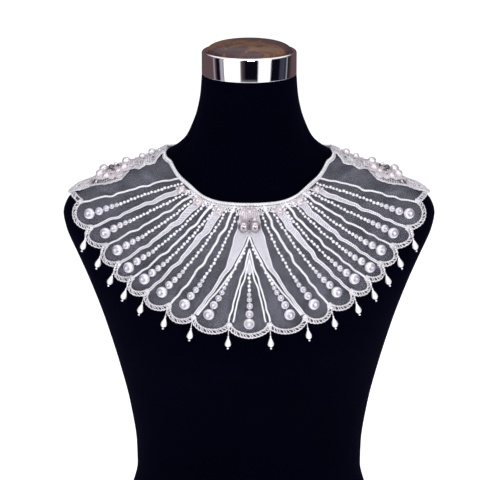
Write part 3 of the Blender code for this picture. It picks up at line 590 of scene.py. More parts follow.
def ramp(tree, value, stops):
    """A colour ramp from (position, colour) stops."""
    node = add(tree, "ValToRGB", {"Fac": value})
    while len(node.color_ramp.elements) < len(stops):
        node.color_ramp.elements.new(0.5)
    for element, (position, colour) in zip(node.color_ramp.elements, stops):
        element.position, element.color = position, (*colour, 1.0)
    return node


def bump(tree, height, strength, distance):
    """Makes fine relief from a height; the distance is in metres."""
    return add(tree, "Bump", {"Height": height, "Strength": strength, "Distance": distance})


def make_velvet():
    """Black pile velvet: blue-black, rough, with a soft sheen and slightly uneven pile."""
    made, tree, shader = finish("black_velvet")
    where = object_vector(tree)
    blue_black = ramp(tree, mottled(tree, where, 9.0), ((0.0, (0.0002, 0.0002, 0.0024)),
                                                        (1.0, (0.0004, 0.0004, 0.0040))))
    wire(tree, shader, {"Base Color": blue_black, "Roughness": 0.95, "Specular IOR Level": 0.015,
                        "Sheen Weight": 0.025, "Sheen Roughness": 0.45, "Sheen Tint": (0.12, 0.12, 0.45),
                        "Normal": bump(tree, mottled(tree, where, 1400.0), 0.35, 0.0004)})
    return made


def make_chrome():
    """Polished chrome with a faint haze of rubbing."""
    made, tree, shader = finish("polished_chrome")
    wire(tree, shader, {"Base Color": (0.86, 0.86, 0.90), "Metallic": 1.0,
                        "Roughness": mottled(tree, object_vector(tree), 45.0, 0.03, 0.09)})
    return made


def make_painted_reflection_lacquer():
    """A clear-coated lacquer whose colour is a painted reflection: a dark plum ground with orange-brown
    patches in a slanted band, standing for a warm room mirrored in the cap's top.
    """
    made, tree, shader = finish("lacquer_with_painted_reflection")
    where = object_vector(tree)
    swirl = add(tree, "TexNoise", {"Vector": where, "Scale": 55.0, "Detail": 6.0, "Roughness": 0.62,
                                   "Distortion": 1.4}).outputs["Fac"]
    across = add(tree, "SeparateXYZ", {"Vector": add(tree, "Mapping", {
        "Vector": where, "Rotation": (0, 0, math.radians(28)), "Location": (0, 0.012, 0)})})
    band = add(tree, "MapRange", {"Value": combine(tree, "ABSOLUTE", across.outputs["Y"]), "From Min": 0.006,
                                  "From Max": 0.026, "To Min": 0.13, "To Max": -0.10})
    # Painted reflection: noise plus a slanted band sets dark plum and orange-brown patches.
    colour = ramp(tree, combine(tree, "ADD", swirl, band), (
        (0.42, (0.052, 0.023, 0.026)), (0.53, (0.070, 0.029, 0.027)), (0.60, (0.175, 0.078, 0.022)),
        (0.74, (0.110, 0.046, 0.017))))
    wire(tree, shader, {"Base Color": colour, "Roughness": 0.45, "Specular IOR Level": 0.25,
                        "Coat Weight": 0.2, "Coat Roughness": 0.10,
                        "Normal": bump(tree, swirl, 0.12, 0.0003)})
    return made


def make_tulle(name, thread_alpha, hole_alpha, fold_highlight_strength):
    """White net: threads show and holes let the velvet through. Slanting wave bands make it more opaque and
    so lighter: painted fold highlights, in bands that follow no fold of the mesh.
    """
    made, tree, shader = finish(name)
    where = cloth_vector(tree)
    thread = add(tree, "Group", {"Vector": where, "Pitch": 210.0}, node_tree=NET)
    cloudy = mottled(tree, where, 38.0, 0.62, 1.35)
    alpha = add(tree, "MapRange", {"Value": thread, "To Min": hole_alpha, "To Max": thread_alpha})
    # Painted fold highlights: sharp wave crests raise the net's opacity, so it shows lighter there.
    painted_fold_highlight = combine(tree, "POWER", bands(tree, where, 7.0, 5.0, 2.0), 14.0)
    fold_highlight_alpha = add(tree, "MapRange", {"Value": painted_fold_highlight, "To Min": 1.0, "To Max": 1.0 + fold_highlight_strength})
    tint = ramp(tree, cloudy, ((0.0, (0.62, 0.62, 0.80)), (1.0, (0.80, 0.80, 0.98))))
    wire(tree, shader, {"Alpha": combine(tree, "MULTIPLY", combine(tree, "MULTIPLY", alpha, cloudy), fold_highlight_alpha),
                        "Base Color": tint,
                        "Roughness": 0.6, "Sheen Weight": 0.2, "Normal": bump(tree, thread, 0.3, 0.0002)})
    return made


def make_thread(name, low, high, pitch, bend, strength, roughness=0.5, grain=120.0):
    """Satin stitch or cord: its colour follows the fine ridges, painted darker between the threads as shade
    and lighter on them as sheen, with a random mottle, and the shader adds a silky sheen.
    """
    made, tree, shader = finish(name)
    ridge = add(tree, "Group", {"Vector": cloth_vector(tree), "Pitch": pitch, "Bend": bend},
                node_tree=THREADS)
    soft = mottled(tree, object_vector(tree), grain, 0.0, 0.5)
    # Painted shade between the ridges and painted sheen on them, plus a random mottle.
    shade = combine(tree, "ADD", combine(tree, "MULTIPLY", ridge, 0.7), soft)
    wire(tree, shader, {"Base Color": ramp(tree, shade, ((0.0, low), (1.0, high))), "Roughness": roughness,
                        "Sheen Weight": 0.3, "Normal": bump(tree, ridge, strength, 0.0004)})
    return made


def make_pearl(name, low, rim, roughness=0.16, clouded=0.025, metal=0.25):
    """A pearl under a clear coat. Its colour is painted by the angle from the outer pole: the rim colour at
    the pole and again from a ring out to the waist, and the low colour in a ring between, clouded a little. A
    lighter rim colour makes a painted highlight at the pole and painted rim light at the waist; a darker one
    makes painted shade round the edge."""
    made, tree, shader = finish(name)
    cloud = mottled(tree, object_vector(tree), 240.0, -clouded, clouded)
    share = add(tree, "SeparateXYZ", {"Vector": cloth_vector(tree)}).outputs["Y"]
    # Painted light and shade: the rim colour at the pole and the waist, the low colour in the ring between.
    rings = (0.035, rim), (0.10, low), (0.21, low), (0.30, rim)
    painted_pole_and_rim_shading = ramp(tree, combine(tree, "ADD", share, cloud), rings)
    wire(tree, shader, {"Base Color": painted_pole_and_rim_shading, "Roughness": roughness, "Metallic": metal, "IOR": 1.6,
                        "Subsurface Weight": 0.1, "Subsurface Radius": (0.002, 0.0018, 0.0018),
                        "Coat Weight": 1.0, "Coat Roughness": 0.04, "Sheen Weight": 0.6,
                        "Sheen Roughness": 0.25})
    return made


VELVET, CHROME, PAINTED_REFLECTION_LACQUER = make_velvet(), make_chrome(), make_painted_reflection_lacquer()
# The last number sets how strongly the painted fold highlights lighten each net.
FAN_NET = make_tulle("white_tulle", 0.105, 0.032, 0.15)
PLAIN_NET = make_tulle("plain_tulle", 0.105, 0.040, 0.5)
# Each thread finish's low colour is painted shade between the ridges and its high colour painted sheen on
# them.
SATIN = make_thread("satin_stitch", (0.24, 0.23, 0.29), (0.82, 0.80, 0.89), 140.0, 2.5, 0.8, grain=520.0)
CORD = make_thread("couched_cord", (0.68, 0.66, 0.75), (1.0, 0.98, 1.0), 130.0, 0.6, 0.8)
LACE = make_thread("guipure_cord", (0.44, 0.41, 0.47), (0.92, 0.89, 0.93), 150.0, 0.8, 0.7)
PETAL = make_thread("lace_petal", (0.32, 0.28, 0.32), (0.80, 0.73, 0.78), 190.0, 2.5, 0.9, 0.4)
# The second colour of each pearl is painted at its outer pole and round its waist. It is lighter on the white
# and rose pearls and the dark beads, as a painted highlight and painted rim light. It is darker on the smoke
# beads, as painted shade round the edge.
PEARL = make_pearl("white_pearl", (0.40, 0.37, 0.46), (0.92, 0.90, 0.96))
ROSE_PEARL = make_pearl("rose_pearl", (0.50, 0.43, 0.48), (0.82, 0.76, 0.80))
SMOKE_BEAD = make_pearl("smoke_bead", (0.42, 0.37, 0.40), (0.33, 0.29, 0.32), 0.18, 0.05, metal=0.75)
DARK_BEAD = make_pearl("dark_bead", (0.02, 0.012, 0.016), (0.05, 0.03, 0.04), 0.2)
print("finishes:", len(bpy.data.materials))

# %% [markdown]
# ## The dress form
# The real form is a moulded torso covered in stretch velvet, without arms, cut flat underneath. It is
# one closed surface: level rings from the base to the neck, with both ends filled. A hundred and sixty
# points round and a ring every three millimetres leave no facets on the shoulders' outline.

# %% Velvet form
FORM_SIDES = 160
ring_heights = np.concatenate([[0.0, 0.6, 2.0, 4.5], np.arange(8, 510, 3.0), [FORM_TOP - 1.5, FORM_TOP]])
turn = 2 * math.pi * np.arange(FORM_SIDES) / FORM_SIDES
across = np.sin(turn)[None, :] * FORM["half_width"](ring_heights)[:, None]
cuts = section(ring_heights[:, None])
in_front, behind = (section_depth(cuts, across, side) for side in ("front", "back"))
depth = np.where(np.cos(turn)[None, :] > 0, in_front, behind)
depth *= -np.sign(np.round(np.cos(turn), 9))[None, :]
form_points = np.stack([across, depth, ring_heights[:, None] + 0 * across], axis=-1).reshape(-1, 3)
last_ring = len(form_points) - FORM_SIDES
form_faces = grid_faces(len(ring_heights), FORM_SIDES, wrap_columns=True)
form_faces += [list(range(FORM_SIDES)), list(range(last_ring, len(form_points)))]
velvet_form = piece("velvet_form", (form_points, form_faces, form_points[:, ::2] * MM), VELVET,
                    ("form_body",), turn_out=True)
for polygon in velvet_form.data.polygons[-2:]:
    polygon.use_smooth = False
print("form rings:", len(ring_heights))

# %% [markdown]
# ## The neck's chrome band and the cap with a painted reflection
# Both are turned: a profile of radius and height is carried round the neck. The band has a rounded rim, and a
# thin groove where it meets the velvet. The cap is a shallow dome set into the band, and its lacquer's colour
# is a painted reflection of a warm room.

# %% Neck cap
CAP_RADIUS, BAND_HEIGHT, RIM, SEAM = 47.6, 24.5, 2.2, 0.3
CAP_SUNK, CAP_DOME, CAP_SQUARE, ROUND_STEPS = 1.0, 10.0, 0.6, 128
band_foot, band_top = FORM_TOP + SEAM, FORM_TOP + BAND_HEIGHT
inner = CAP_RADIUS - 2 * RIM
band_profile = [(inner, band_foot), (CAP_RADIUS - 0.8, band_foot), (CAP_RADIUS - 0.2, band_foot + 0.3),
                (CAP_RADIUS, band_foot + 1.0), (CAP_RADIUS, band_top - RIM - 3.0)]
band_profile += [(CAP_RADIUS - RIM + RIM * math.cos(a), band_top - RIM + RIM * math.sin(a))
                 for a in math.pi * np.arange(9) / 8]
piece("chrome_band", turned(band_profile, ROUND_STEPS), CHROME, ("neck_ring",), turn_out=True)

cap_edge = inner - SEAM
dome = [(cap_edge * math.cos(a) ** CAP_SQUARE, band_top - CAP_SUNK + CAP_DOME * math.sin(a))
        for a in math.pi / 2 * np.arange(14) / 14]
cap_top = band_top - CAP_SUNK + CAP_DOME
# The cap's lacquer paints a reflection of a warm room into its colour.
piece("cap_with_painted_reflection", turned([(cap_edge, band_foot)] + dome, ROUND_STEPS, poles=(band_foot, cap_top)), PAINTED_REFLECTION_LACQUER,
      ("neck_cap",), turn_out=True)
print("cap top in mm:", cap_top)

# %% [markdown]
# ## The tulle
# Tulle is a net of fine thread. It is laid as two sheets, the embroidered fan and the plain piece that
# goes over both shoulders and the back, each a grid of q and t with a little thickness. The pattern of
# the net must stay the same size from the narrow neck to the wide hem, so each point's flat place, in
# metres, is worked out as in a paper cone laid flat, and kept as the sheet's UV map.

# %% Tulle sheets
CONE_START, CONE_PER_LOBE = 52.0, 0.155
# Folds: t in the middle of the panel, lean, width in t, height in mm.
CREASES = ((0.62, 0.8, 0.022, 1.1), (0.25, 1.9, 0.05, 0.7))
PANEL_MIDDLE, PANEL_END, PANEL_EASE_IN, PANEL_EASE_OUT = 0.09, 0.20, 0.03, 0.08
NET_THICKNESS = 0.25


def lobe_steps(count):
    """Places across all the lobes, closer together beside the valleys: (1 - cos) / 2."""
    return [lobe + (1 - np.cos(math.pi * np.arange(count) / count)) / 2 for lobe in range(LOBES)]


def crease(q, t):
    """Soft folds of the plain shoulder panels: two slanting bells that fade towards every edge."""
    around = np.where(q > LOBES + BACK_SPAN / 2, ROUND - q, q - LOBES) * 2 / BACK_SPAN
    fade = (np.clip(around / PANEL_EASE_IN, 0, 1) * np.clip((PANEL_END - around) / PANEL_EASE_OUT, 0, 1)
            * np.sin(math.pi * np.clip(t, 0, 1)))
    return fade * sum(np.exp(-((t - at - lean * (around - PANEL_MIDDLE)) / wide) ** 2) * high
                      for at, lean, wide, high in CREASES)


def grid_area(points):
    """Area in square metres of a grid of points, as two triangles to a cell."""
    a, b, c, d = points[:-1, :-1], points[1:, :-1], points[1:, 1:], points[:-1, 1:]
    first = np.linalg.norm(np.cross(b - a, c - a), axis=-1)
    second = np.linalg.norm(np.cross(c - a, d - a), axis=-1)
    return float((first + second).sum()) / 2 * MM * MM


def net_sheet(name, q, rows, lift, material, node):
    """A sheet over q's columns, with shares of the way to the hem as rows. Its flat place is polar: the
    slant distance from the neck plus a start radius, and an angle for q."""
    q = q[:, None]
    t = rows[None, :] * hem_reach(q)
    points = cloth(q, t, lift(q, t))
    slant, angle = run(points, axis=1), CONE_PER_LOBE * (q - q.mean())
    flat = np.stack([(CONE_START + slant) * np.sin(angle), (CONE_START + slant) * np.cos(angle)], axis=-1)
    sheet = points.reshape(-1, 3), grid_faces(*points.shape[:2]), flat.reshape(-1, 2) * MM
    made = piece(name, sheet, material, (node,))
    thick = made.modifiers.new("net_thickness", "SOLIDIFY")
    thick.thickness, thick.offset = NET_THICKNESS * MM, 0.0
    return made, grid_area(points)


fan_q, back_q = np.concatenate(lobe_steps(12) + [[float(LOBES)]]), np.linspace(LOBES, ROUND, 241)
fan_net, fan_area = net_sheet("fan_tulle", fan_q, np.linspace(0, 1, 41),
                              lambda q, t: NET_LIFT + 0 * t, FAN_NET, "front_tulle")
back_net, back_area = net_sheet("plain_tulle", back_q, np.linspace(0, 1, 37),
                                lambda q, t: NET_LIFT + crease(q, t), PLAIN_NET, "back_tulle")
print("tulle in square metres:", round(fan_area, 4), round(back_area, 4))

# %% [markdown]
# ## Cords laid on the tulle
# A real embroiderer couches a soft cord along a drawn line and it wavers a little. A cord here is a path
# of q and t, pushed sideways by a few slow waves. The waves' phases drift slowly from ray to ray, because
# on the real cape neighbouring cords waver together where the net has puckered.

# %% Laid paths
WAVES = ((13.0, 0.30, 0.9), (21.0, 0.50, 0.6), (34.0, 0.45, 0.4))
SATIN_SLANT = 0.7


def laid(q, t, lift):
    """Path points at a height over the cloth, and the directions straight up from it."""
    low = cloth(q, t, lift)
    return low, unit(cloth(q, t, np.asarray(lift) + 1.0) - low)


def waver(q, distance, size):
    """Sideways wander in mm: three sines of 13 to 34 mm, whose phases drift with q."""
    return size * sum(share * np.sin(2 * math.pi * distance / length + 1.7 * length + drift * q)
                      for length, share, drift in WAVES)


def wavered(q, t, size):
    """The same path with its q wandering, and held still at both ends."""
    share = (t - t[0]) / (t[-1] - t[0])
    hold = np.clip(8 * share * (1 - share), 0, 1)
    return q + hold * waver(q, (t - t[0]) * column_length(q), size) / lobe_width(q, t)


def cord(q, t, radius, sides=8, lift=TRIM):
    """A tube along q and t, sunk a fifth of its radius into what it lies on."""
    return tube(*laid(q, t, lift + radius * 0.8), radius, sides)


def ribbon(edge_a, edge_b, t, height, columns=11):
    """Satin stitch between two edges given as q along t: a low padded wall, height * (1 - x^6) across."""
    share = np.linspace(0, 1, columns)[None, :]
    q = edge_a[:, None] * (1 - share) + edge_b[:, None] * share
    rows = t[:, None] + 0 * q
    padding = np.clip(1 - np.abs(2 * share - 1) ** 6, 0, 1)
    top = cloth(q, rows, TRIM + 0.15 + height * padding)
    points, faces, _ = shell(top, cloth(q, rows, TRIM - 0.1))
    sideways = np.linalg.norm(top - top[:, :1], axis=-1)
    flat = np.stack([run(top) + SATIN_SLANT * sideways, sideways], axis=-1).reshape(-1, 2) * MM
    return points, faces, np.concatenate([flat, flat])


# %% [markdown]
# ## Satin rays and couched rays
# Every second ray is a wide satin taper that thins into a cord, and the ones between are a single cord.
# Half widths come from a table of the two ends; between them a rounded sine keeps the wide part near
# the neck. Fine cords outline the satin, as the needleworker's first stitches do.

# %% Rays
TAPER_COLUMNS = ("ray", "neck_half", "hem_half", "begins", "ends")
TAPER_ROWS = (
    (1, 2.6, 0.8, 0.09, 0.985),
    (2, 1.2, 0.95, 0.012, 0.985),
    (3, 3.2, 0.95, 0.05, 0.985),
    (4, 1.3, 1.05, 0.012, 0.985),
    (5, 3.5, 1.05, 0.06, 0.985),
    (6, 1.35, 1.1, 0.012, 0.985),
)
EDGE_INSET, EDGE_ROW = 0.02, (1.0, 0.95, 0.012, 0.985)
TAPER_ROUND, TAPER_POWER, LEAST_SATIN = 0.62, 2.6, 2.0
WANDER, OUTLINE, SATIN_HEIGHT = 1.0, 0.52, 0.75
STITCH, PINCH = 2.4, 0.10


def outlined(edge, t, radius=OUTLINE):
    """A fine cord on the edge of the satin."""
    return cord(edge, t, radius, 6, TRIM + 0.3)


def satin_ray(q, neck_half, hem_half, begins, ends):
    """The padded satin, and the two cords that outline it."""
    t = np.linspace(begins, ends, 110)
    share = (t - begins) / (ends - begins)
    half = hem_half + (neck_half - hem_half) * np.sin(math.pi * TAPER_ROUND * (1 - share) ** TAPER_POWER)
    line = wavered(np.full_like(t, q), t, WANDER)
    spread = half / lobe_width(line, t)
    edges = line - spread, line + spread
    return ribbon(*edges, t, SATIN_HEIGHT), [outlined(edge, t) for edge in edges]


def couched_ray(q, neck_half, hem_half, begins, ends):
    """One cord, a little pinched at every couching stitch."""
    t = np.linspace(begins, ends, 150)
    pinch = 1 + PINCH * np.sin(2 * math.pi * t * column_length(q) / STITCH)
    return cord(wavered(np.full_like(t, q), t, WANDER), t, (neck_half + (hem_half - neck_half) * t) * pinch)


outline_parts = []
for row in named(TAPER_COLUMNS, TAPER_ROWS):
    ray, *ends = row.values()
    for side, q in (("right", float(ray)), ("left", LOBES - float(ray))):
        name = f"ray_{side}_{ray}"
        if row["neck_half"] > LEAST_SATIN:
            satin, outlines = satin_ray(q, *ends)
            outline_parts += outlines
            piece(f"satin_{name}", satin, SATIN, (name,))
        else:
            piece(f"couched_{name}", couched_ray(q, *ends), CORD, (name,))
for side, q in (("right", EDGE_INSET), ("left", LOBES - EDGE_INSET)):
    piece(f"couched_edge_{side}", couched_ray(q, *EDGE_ROW), CORD, (f"edge_cord_{side}",))
print("rays:", 2 * len(TAPER_ROWS) + 2)

# %% [markdown]
# ## The centre motif
# Under the centre flower a wide satin V opens. A table gives the satin's width, and how far from its outer
# edge the hairpin cord runs that parts its two arms. Two more hairpins nest below it, with satin between
# their tips. For these, q leaves the centre at an apex and settles on a foot along a cubic.

# %% Centre V
ARM_COLUMNS = ("t", "edge", "satin", "cord")
ARM_ROWS = (
    (0.02, 6.95, 9, 12),
    (0.14, 6.98, 12.8, 15),
    (0.215, 7.02, 13.4, 14.4),
    (0.27, 7.05, 11.8, 14.2),
    (0.35, 7.11, 9.9, 12.4),
    (0.43, 7.16, 7.5, 10.2),
    (0.51, 7.20, 5.1, 8.4),
    (0.59, 7.17, 3.1, 7.8),
    (0.67, 7.12, 2.3, 6.4),
    (0.76, 7.06, 2.1, 5),
    (0.90, 6.98, 2, 3.9),
    (1.00, 6.95, 2, 3.4),
)
ARM = curves(ARM_COLUMNS, ARM_ROWS)
PARTING, V_START, V_END = 0.206, 0.02, 0.97
WEDGE_FOOT, WEDGE_APEX, WEDGE_RUN = 8.16, 0.385, (0.41, 0.56)
NEST_ROWS = (("outer", 7.965, 0.365, 0.95), ("inner", 8.085, 0.45, 0.90))


def mirrored(q):
    """The same place on the other half of the fan."""
    return LOBES - q


def off_edge(edge, t, millimetres):
    """q at a distance in from the arm's outer edge, and at most the centre line, read off a fine run of
    places across the cloth."""
    q = edge[:, None] + (CENTRE - edge[:, None]) * np.linspace(0, 1, 33)
    reach = run(cloth(q, t[:, None], 0.0), axis=1)
    return np.array([np.interp(far, row, line) for far, row, line in zip(millimetres, reach, q)])


def hairpin(q, t, radius):
    """A cord up one side, round its apex and down the other, from the right half's q and t."""
    return cord(np.concatenate([q[::-1], mirrored(q[1:])]), np.concatenate([t[::-1], t[1:]]), radius)


def nest_line(t, foot_q, apex_t):
    """q = foot + (centre - foot) * s^3, where s falls from 1 at the apex to 0 at the hem."""
    return foot_q + (CENTRE - foot_q) * np.clip((1 - t) / (1 - apex_t), 0, 1) ** 3.0


def nested(foot_q, apex_t, radius):
    """A hairpin on the formula above. Its places crowd at the apex as squares do."""
    t = apex_t + (V_END - apex_t) * np.linspace(0, 1, 110) ** 2
    line = nest_line(t, foot_q, apex_t)
    return hairpin(np.concatenate([line[:1], wavered(line[1:], t[1:], WANDER * 0.6)]), t, radius)


arm_t = np.linspace(V_START, V_END, 120)
outer_edge = wavered(ARM["edge"](arm_t), arm_t, WANDER * 0.6)
inner_edge = off_edge(outer_edge, arm_t, ARM["satin"](arm_t))
parted, below = arm_t > PARTING - 0.02, arm_t > PARTING
satin_parts = []
for turn_over in (lambda q: q, mirrored):
    satin_parts.append(ribbon(turn_over(outer_edge), turn_over(inner_edge), arm_t, 0.8, 15))
    outline_parts += [outlined(turn_over(outer_edge), arm_t, 0.6),
                      outlined(turn_over(inner_edge[parted]), arm_t[parted])]
wedge_t = np.linspace(*WEDGE_RUN, 24)
wedge_edge = nest_line(wedge_t, WEDGE_FOOT, WEDGE_APEX)
satin_parts.append(ribbon(wedge_edge, mirrored(wedge_edge), wedge_t, 0.35, 13))
piece("centre_v_satin", join(satin_parts), SATIN, ("centre_satin",))
piece("satin_outlines", join(outline_parts), CORD)
cord_q = np.concatenate([[CENTRE], off_edge(outer_edge, arm_t, ARM["cord"](arm_t))[below]])
cord_t = np.concatenate([[PARTING - 0.012], arm_t[below]])
piece("hairpin_cord_wide", hairpin(cord_q, cord_t, 0.95), CORD)
for name, *nest in NEST_ROWS:
    piece(f"hairpin_cord_{name}", nested(*nest), CORD, (f"centre_cord_{name}",))
print("centre V from", float(arm_t[0]), "to", float(arm_t[-1]), "of the way to the hem")

# %% [markdown]
# ## Binding and hem braid
# The neckline is bound with two twists of two strands, over a looped cord. The hem's braid is crocheted:
# an outer and an inner cord with slanted stitches between them, open enough for the dark form to show
# through. A twist's strands swing sideways by a sine and up by a cosine.

# %% Twist and braid
# Twists: mm below the neckline, height over the cloth, and the strands' radius, swing, rise and pitch.
TWIST_ROWS = ((0.0, 0.9, 0.95, 0.75, 0.75, 5.6), (2.3, 0.3, 0.42, 0.35, 0.3, 4.2))


def twist(path, up, radius, swing, rise, pitch):
    """Two strands: path + swing * sin(a) across + rise * cos(a) up, where a runs once per pitch and starts
    half a turn later for the second. The pitch is stretched to a whole number of turns."""
    across = unit(np.cross(headings(path, True), up))
    distance = run(path)
    total = distance[-1] + np.linalg.norm(path[0] - path[-1])
    parts = []
    for start in (0.0, 0.5):
        angle = 2 * math.pi * (round(total / pitch) * distance / total + start)
        strand = path + swing * np.sin(angle)[:, None] * across + rise * np.cos(angle)[:, None] * up
        parts.append(tube(strand, up, radius, 6, closed=True))
    return parts


def even(path, up, gap):
    """The same closed path with its points a fixed gap apart."""
    around, ups = np.concatenate([path, path[:1]]), np.concatenate([up, up[:1]])
    distance = run(around)
    count = int(distance[-1] / gap)
    at = distance[-1] * np.arange(count) / count
    return read_line(at, distance, around), unit(read_line(at, distance, ups))


neck_q = np.linspace(0, ROUND, 1200, endpoint=False)
binding = []
for down, height, *shape in TWIST_ROWS:
    binding += twist(*even(*laid(neck_q, down / column_length(neck_q), TRIM + height), 0.8), *shape)
piece("neck_twist", join(binding), CORD, ("neck_binding",))

PICOT_Q = (1.3, LOBES - 1.3)
PICOT_DOWN, PICOT_SWING, PICOT_PITCH = 5.6, 2.3, 3.4
picot_q = np.linspace(*PICOT_Q, 1500)
picot_angle = 2 * math.pi * run(cloth(picot_q, 0 * picot_q, 0.0)) / PICOT_PITCH
picot = cord(picot_q + PICOT_SWING * 0.8 * np.cos(picot_angle) / lobe_width(picot_q, 0 * picot_q),
             (PICOT_DOWN + PICOT_SWING * np.sin(picot_angle)) / column_length(picot_q), 0.5, 5, TRIM + 0.9)
piece("neck_picot", picot, CORD)

BRAID_HALF, EDGE_CORD, STITCH_CORD = 2.5, 0.72, 0.52
STITCH_PITCH, STITCH_SLANT, STITCH_WANDER, RIPPLE = 3.2, 2.1, 0.16, 0.32
hem_q = np.concatenate(lobe_steps(60) + [np.linspace(LOBES, ROUND, 500, endpoint=False)])
hem_t = hem_reach(hem_q) - BRAID_HALF * 0.75 / column_length(hem_q)
hem_path, hem_up = even(*laid(hem_q, hem_t, TRIM + 1.1), 0.75)


def crochet(path, up, half):
    """An outer and an inner cord at the two sides of a path, each a little scalloped by the stitches, and
    one slanted stitch per pitch from the one to the other, over a hump: sin(pi * share) high."""
    across = unit(np.cross(headings(path, True), up))
    distance = run(path)
    ripple = RIPPLE * np.sin(2 * math.pi * distance / STITCH_PITCH)[:, None]
    parts = [tube(path + across * (side * half + ripple * side), up, EDGE_CORD, 6, closed=True)
             for side in (-1, 1)]
    share = np.linspace(0, 1, 6)
    starts = np.arange(STITCH_PITCH, distance[-1] - STITCH_SLANT - 2 * STITCH_PITCH, STITCH_PITCH)
    starts += STITCH_WANDER * STITCH_PITCH * np.sin(2.4 * np.arange(len(starts)))
    for row in (0, 1):
        for start in starts + row * STITCH_PITCH / 2:
            middle, lifted, aside = (read_line(start + STITCH_SLANT * share, distance, line)
                                     for line in (path, up, across))
            reach = (share if row else share - 1)[:, None] * half * 0.95
            line = middle + aside * reach + lifted * (0.25 + 0.75 * np.sin(math.pi * share))[:, None]
            parts.append(tube(line, lifted, STITCH_CORD, 5))
    return join(parts)


piece("hem_crochet", crochet(hem_path, hem_up, BRAID_HALF - 0.45), LACE, ("hem_braid",))
print("hem in mm:", round(float(run(hem_path)[-1])))

# %% [markdown]
# ## Pearls
# Each lobe carries one string: a big pearl near the hem, smaller ones above it, and then a run of seed
# beads up to the neckline on a thread that shows between them. A table of diameters gives the large ones,
# and the seeds fill the rest, smaller and closer towards the neck. They are sewn one by one, so each is
# moved a little off the line, always the same way for the same string.

# %% Strings of pearls
STRING_COLUMNS = ("begins", "pearl")
STRING_ROWS = (
    (0.03, 0.935),
    (0.04, 0.905),
    (0.03, 0.905),
    (0.04, 0.920),
    (0.04, 0.900),
    (0.05, 0.910),
    (0.07, 0.910),
    (0.33, 0.925),
    (0.56, 0.965),
)
PEARLS = (10.8, 7.9, 6.3, 5.2, 4.4, 3.8)
LEAST_LARGE, STILL_LARGE = 4.1, 3.5
SEED_SIZES, SEED_RUN, SEED_GAP, SEED_ASIDE = (3.5, 2.9), 100.0, 0.20, 0.55
SIZE_SPREAD, SWING_SPREAD, TOUCHING, FIRST_SEED = (0.90, 1.08), (0.3, 1.0), 1.03, 40
STRING_WAVER, STRING_LIFT, STRING_RADIUS, SEWN_DOWN = 0.35, 0.5, 0.35, 0.92
SIDE_STRING_COLUMNS = ("t", "off")
SIDE_STRING_ROWS = (
    (0.30, 1.5),
    (0.36, 4.3),
    (0.42, 7.4),
    (0.47, 10.8),
    (0.53, 14.4),
    (0.62, 19.6),
    (0.70, 24.4),
    (0.76, 28),
    (0.83, 33),
    (0.95, 40),
)
SIDE_STRING = curves(SIDE_STRING_COLUMNS, SIDE_STRING_ROWS)["off"]


def string_line(lobe, t):
    """The middle of the lobe, but the two strings beside the centre start under the V."""
    from_centre = lobe - LOBES // 2
    if abs(from_centre) == 1:
        return CENTRE + from_centre * SIDE_STRING(t) / lobe_width(8.1 + 0 * t, t)
    return lobe + 0.5 + 0 * t


def bead_run(total):
    """Distances up the string and diameters. Large pearls touch, and seeds keep a share of their size
    free."""
    sizes, places = list(PEARLS), [0.0]
    for before, size in zip(PEARLS, PEARLS[1:]):
        places.append(places[-1] + (before + size) / 2 * TOUCHING)
    while places[-1] < total:
        size = SEED_SIZES[0] + (SEED_SIZES[1] - SEED_SIZES[0]) * min(places[-1] / SEED_RUN, 1.0)
        places.append(places[-1] + size * (1 + SEED_GAP))
        sizes.append(size)
    kept = np.array(places) < total
    return np.array(places)[kept], np.array(sizes)[kept]


bead_count = 0
for lobe in range(LOBES):
    row = named(STRING_COLUMNS, STRING_ROWS)[min(lobe, LOBES - 1 - lobe)]
    length = float(column_length(lobe + 0.5))
    up_string, sizes = bead_run((row["pearl"] - row["begins"]) * length)
    t = row["pearl"] - up_string / length
    dice = np.random.default_rng(FIRST_SEED + lobe)
    seeds = sizes <= STILL_LARGE
    sizes = np.where(seeds, sizes * dice.uniform(*SIZE_SPREAD, len(sizes)), sizes)
    swing = np.where(np.arange(len(sizes)) % 2, 1.0, -1.0) * dice.uniform(*SWING_SPREAD, len(sizes))
    aside = np.where(seeds, SEED_ASIDE * swing, 0.0)
    line = string_line(lobe, t)
    q = line + (aside + waver(lobe + 0.5, up_string, STRING_WAVER)) / lobe_width(line, t)
    centres, ups = laid(q, t, TRIM + sizes / 2 * SEWN_DOWN)
    large = sizes > LEAST_LARGE
    seed_points, seed_faces, seed_flat = balls(centres[~large], sizes[~large] / 2, 10, 7, ups[~large])
    parts = [balls(centres[large], sizes[large] / 2, 32, 20, ups[large]),
             tube(*laid(q, t, TRIM + STRING_LIFT), STRING_RADIUS, 5),
             (seed_points, seed_faces, 0 * seed_flat + 0.5)]
    piece(f"pearls_{lobe + 1:02d}", join(parts), PEARL, (f"pearl_string_{lobe + 1:02d}",))
    bead_count += len(sizes)
print("pearls and seeds:", bead_count)

# %% [markdown]
# ## Teardrops
# A teardrop hangs at every valley of the hem, on a thread that starts in a small knot on the braid. The
# drop is a profile carried along its axis, with a seed bead above it and a tiny one below, as they are
# strung. It hangs straight down, and beside the shoulders it leans out over the next lobe.

# %% Teardrops
# Millimetres down the axis, and the radius there.
DROP_ROWS = (
    (10.4, 0.50),
    (11.4, 1.05),
    (13.2, 1.90),
    (15.2, 2.75),
    (16.8, 3.10),
    (18.2, 2.80),
    (19.2, 1.90),
    (19.8, 0.80),
)
DROP_LENGTH, DROP_FACING = 22.0, np.array([0.0, -1.0, 0.0])
drop_down, drop_radius = np.array(DROP_ROWS).T
THREAD_RUN, THREAD_RADIUS = (-1.5, 10.6), 0.36
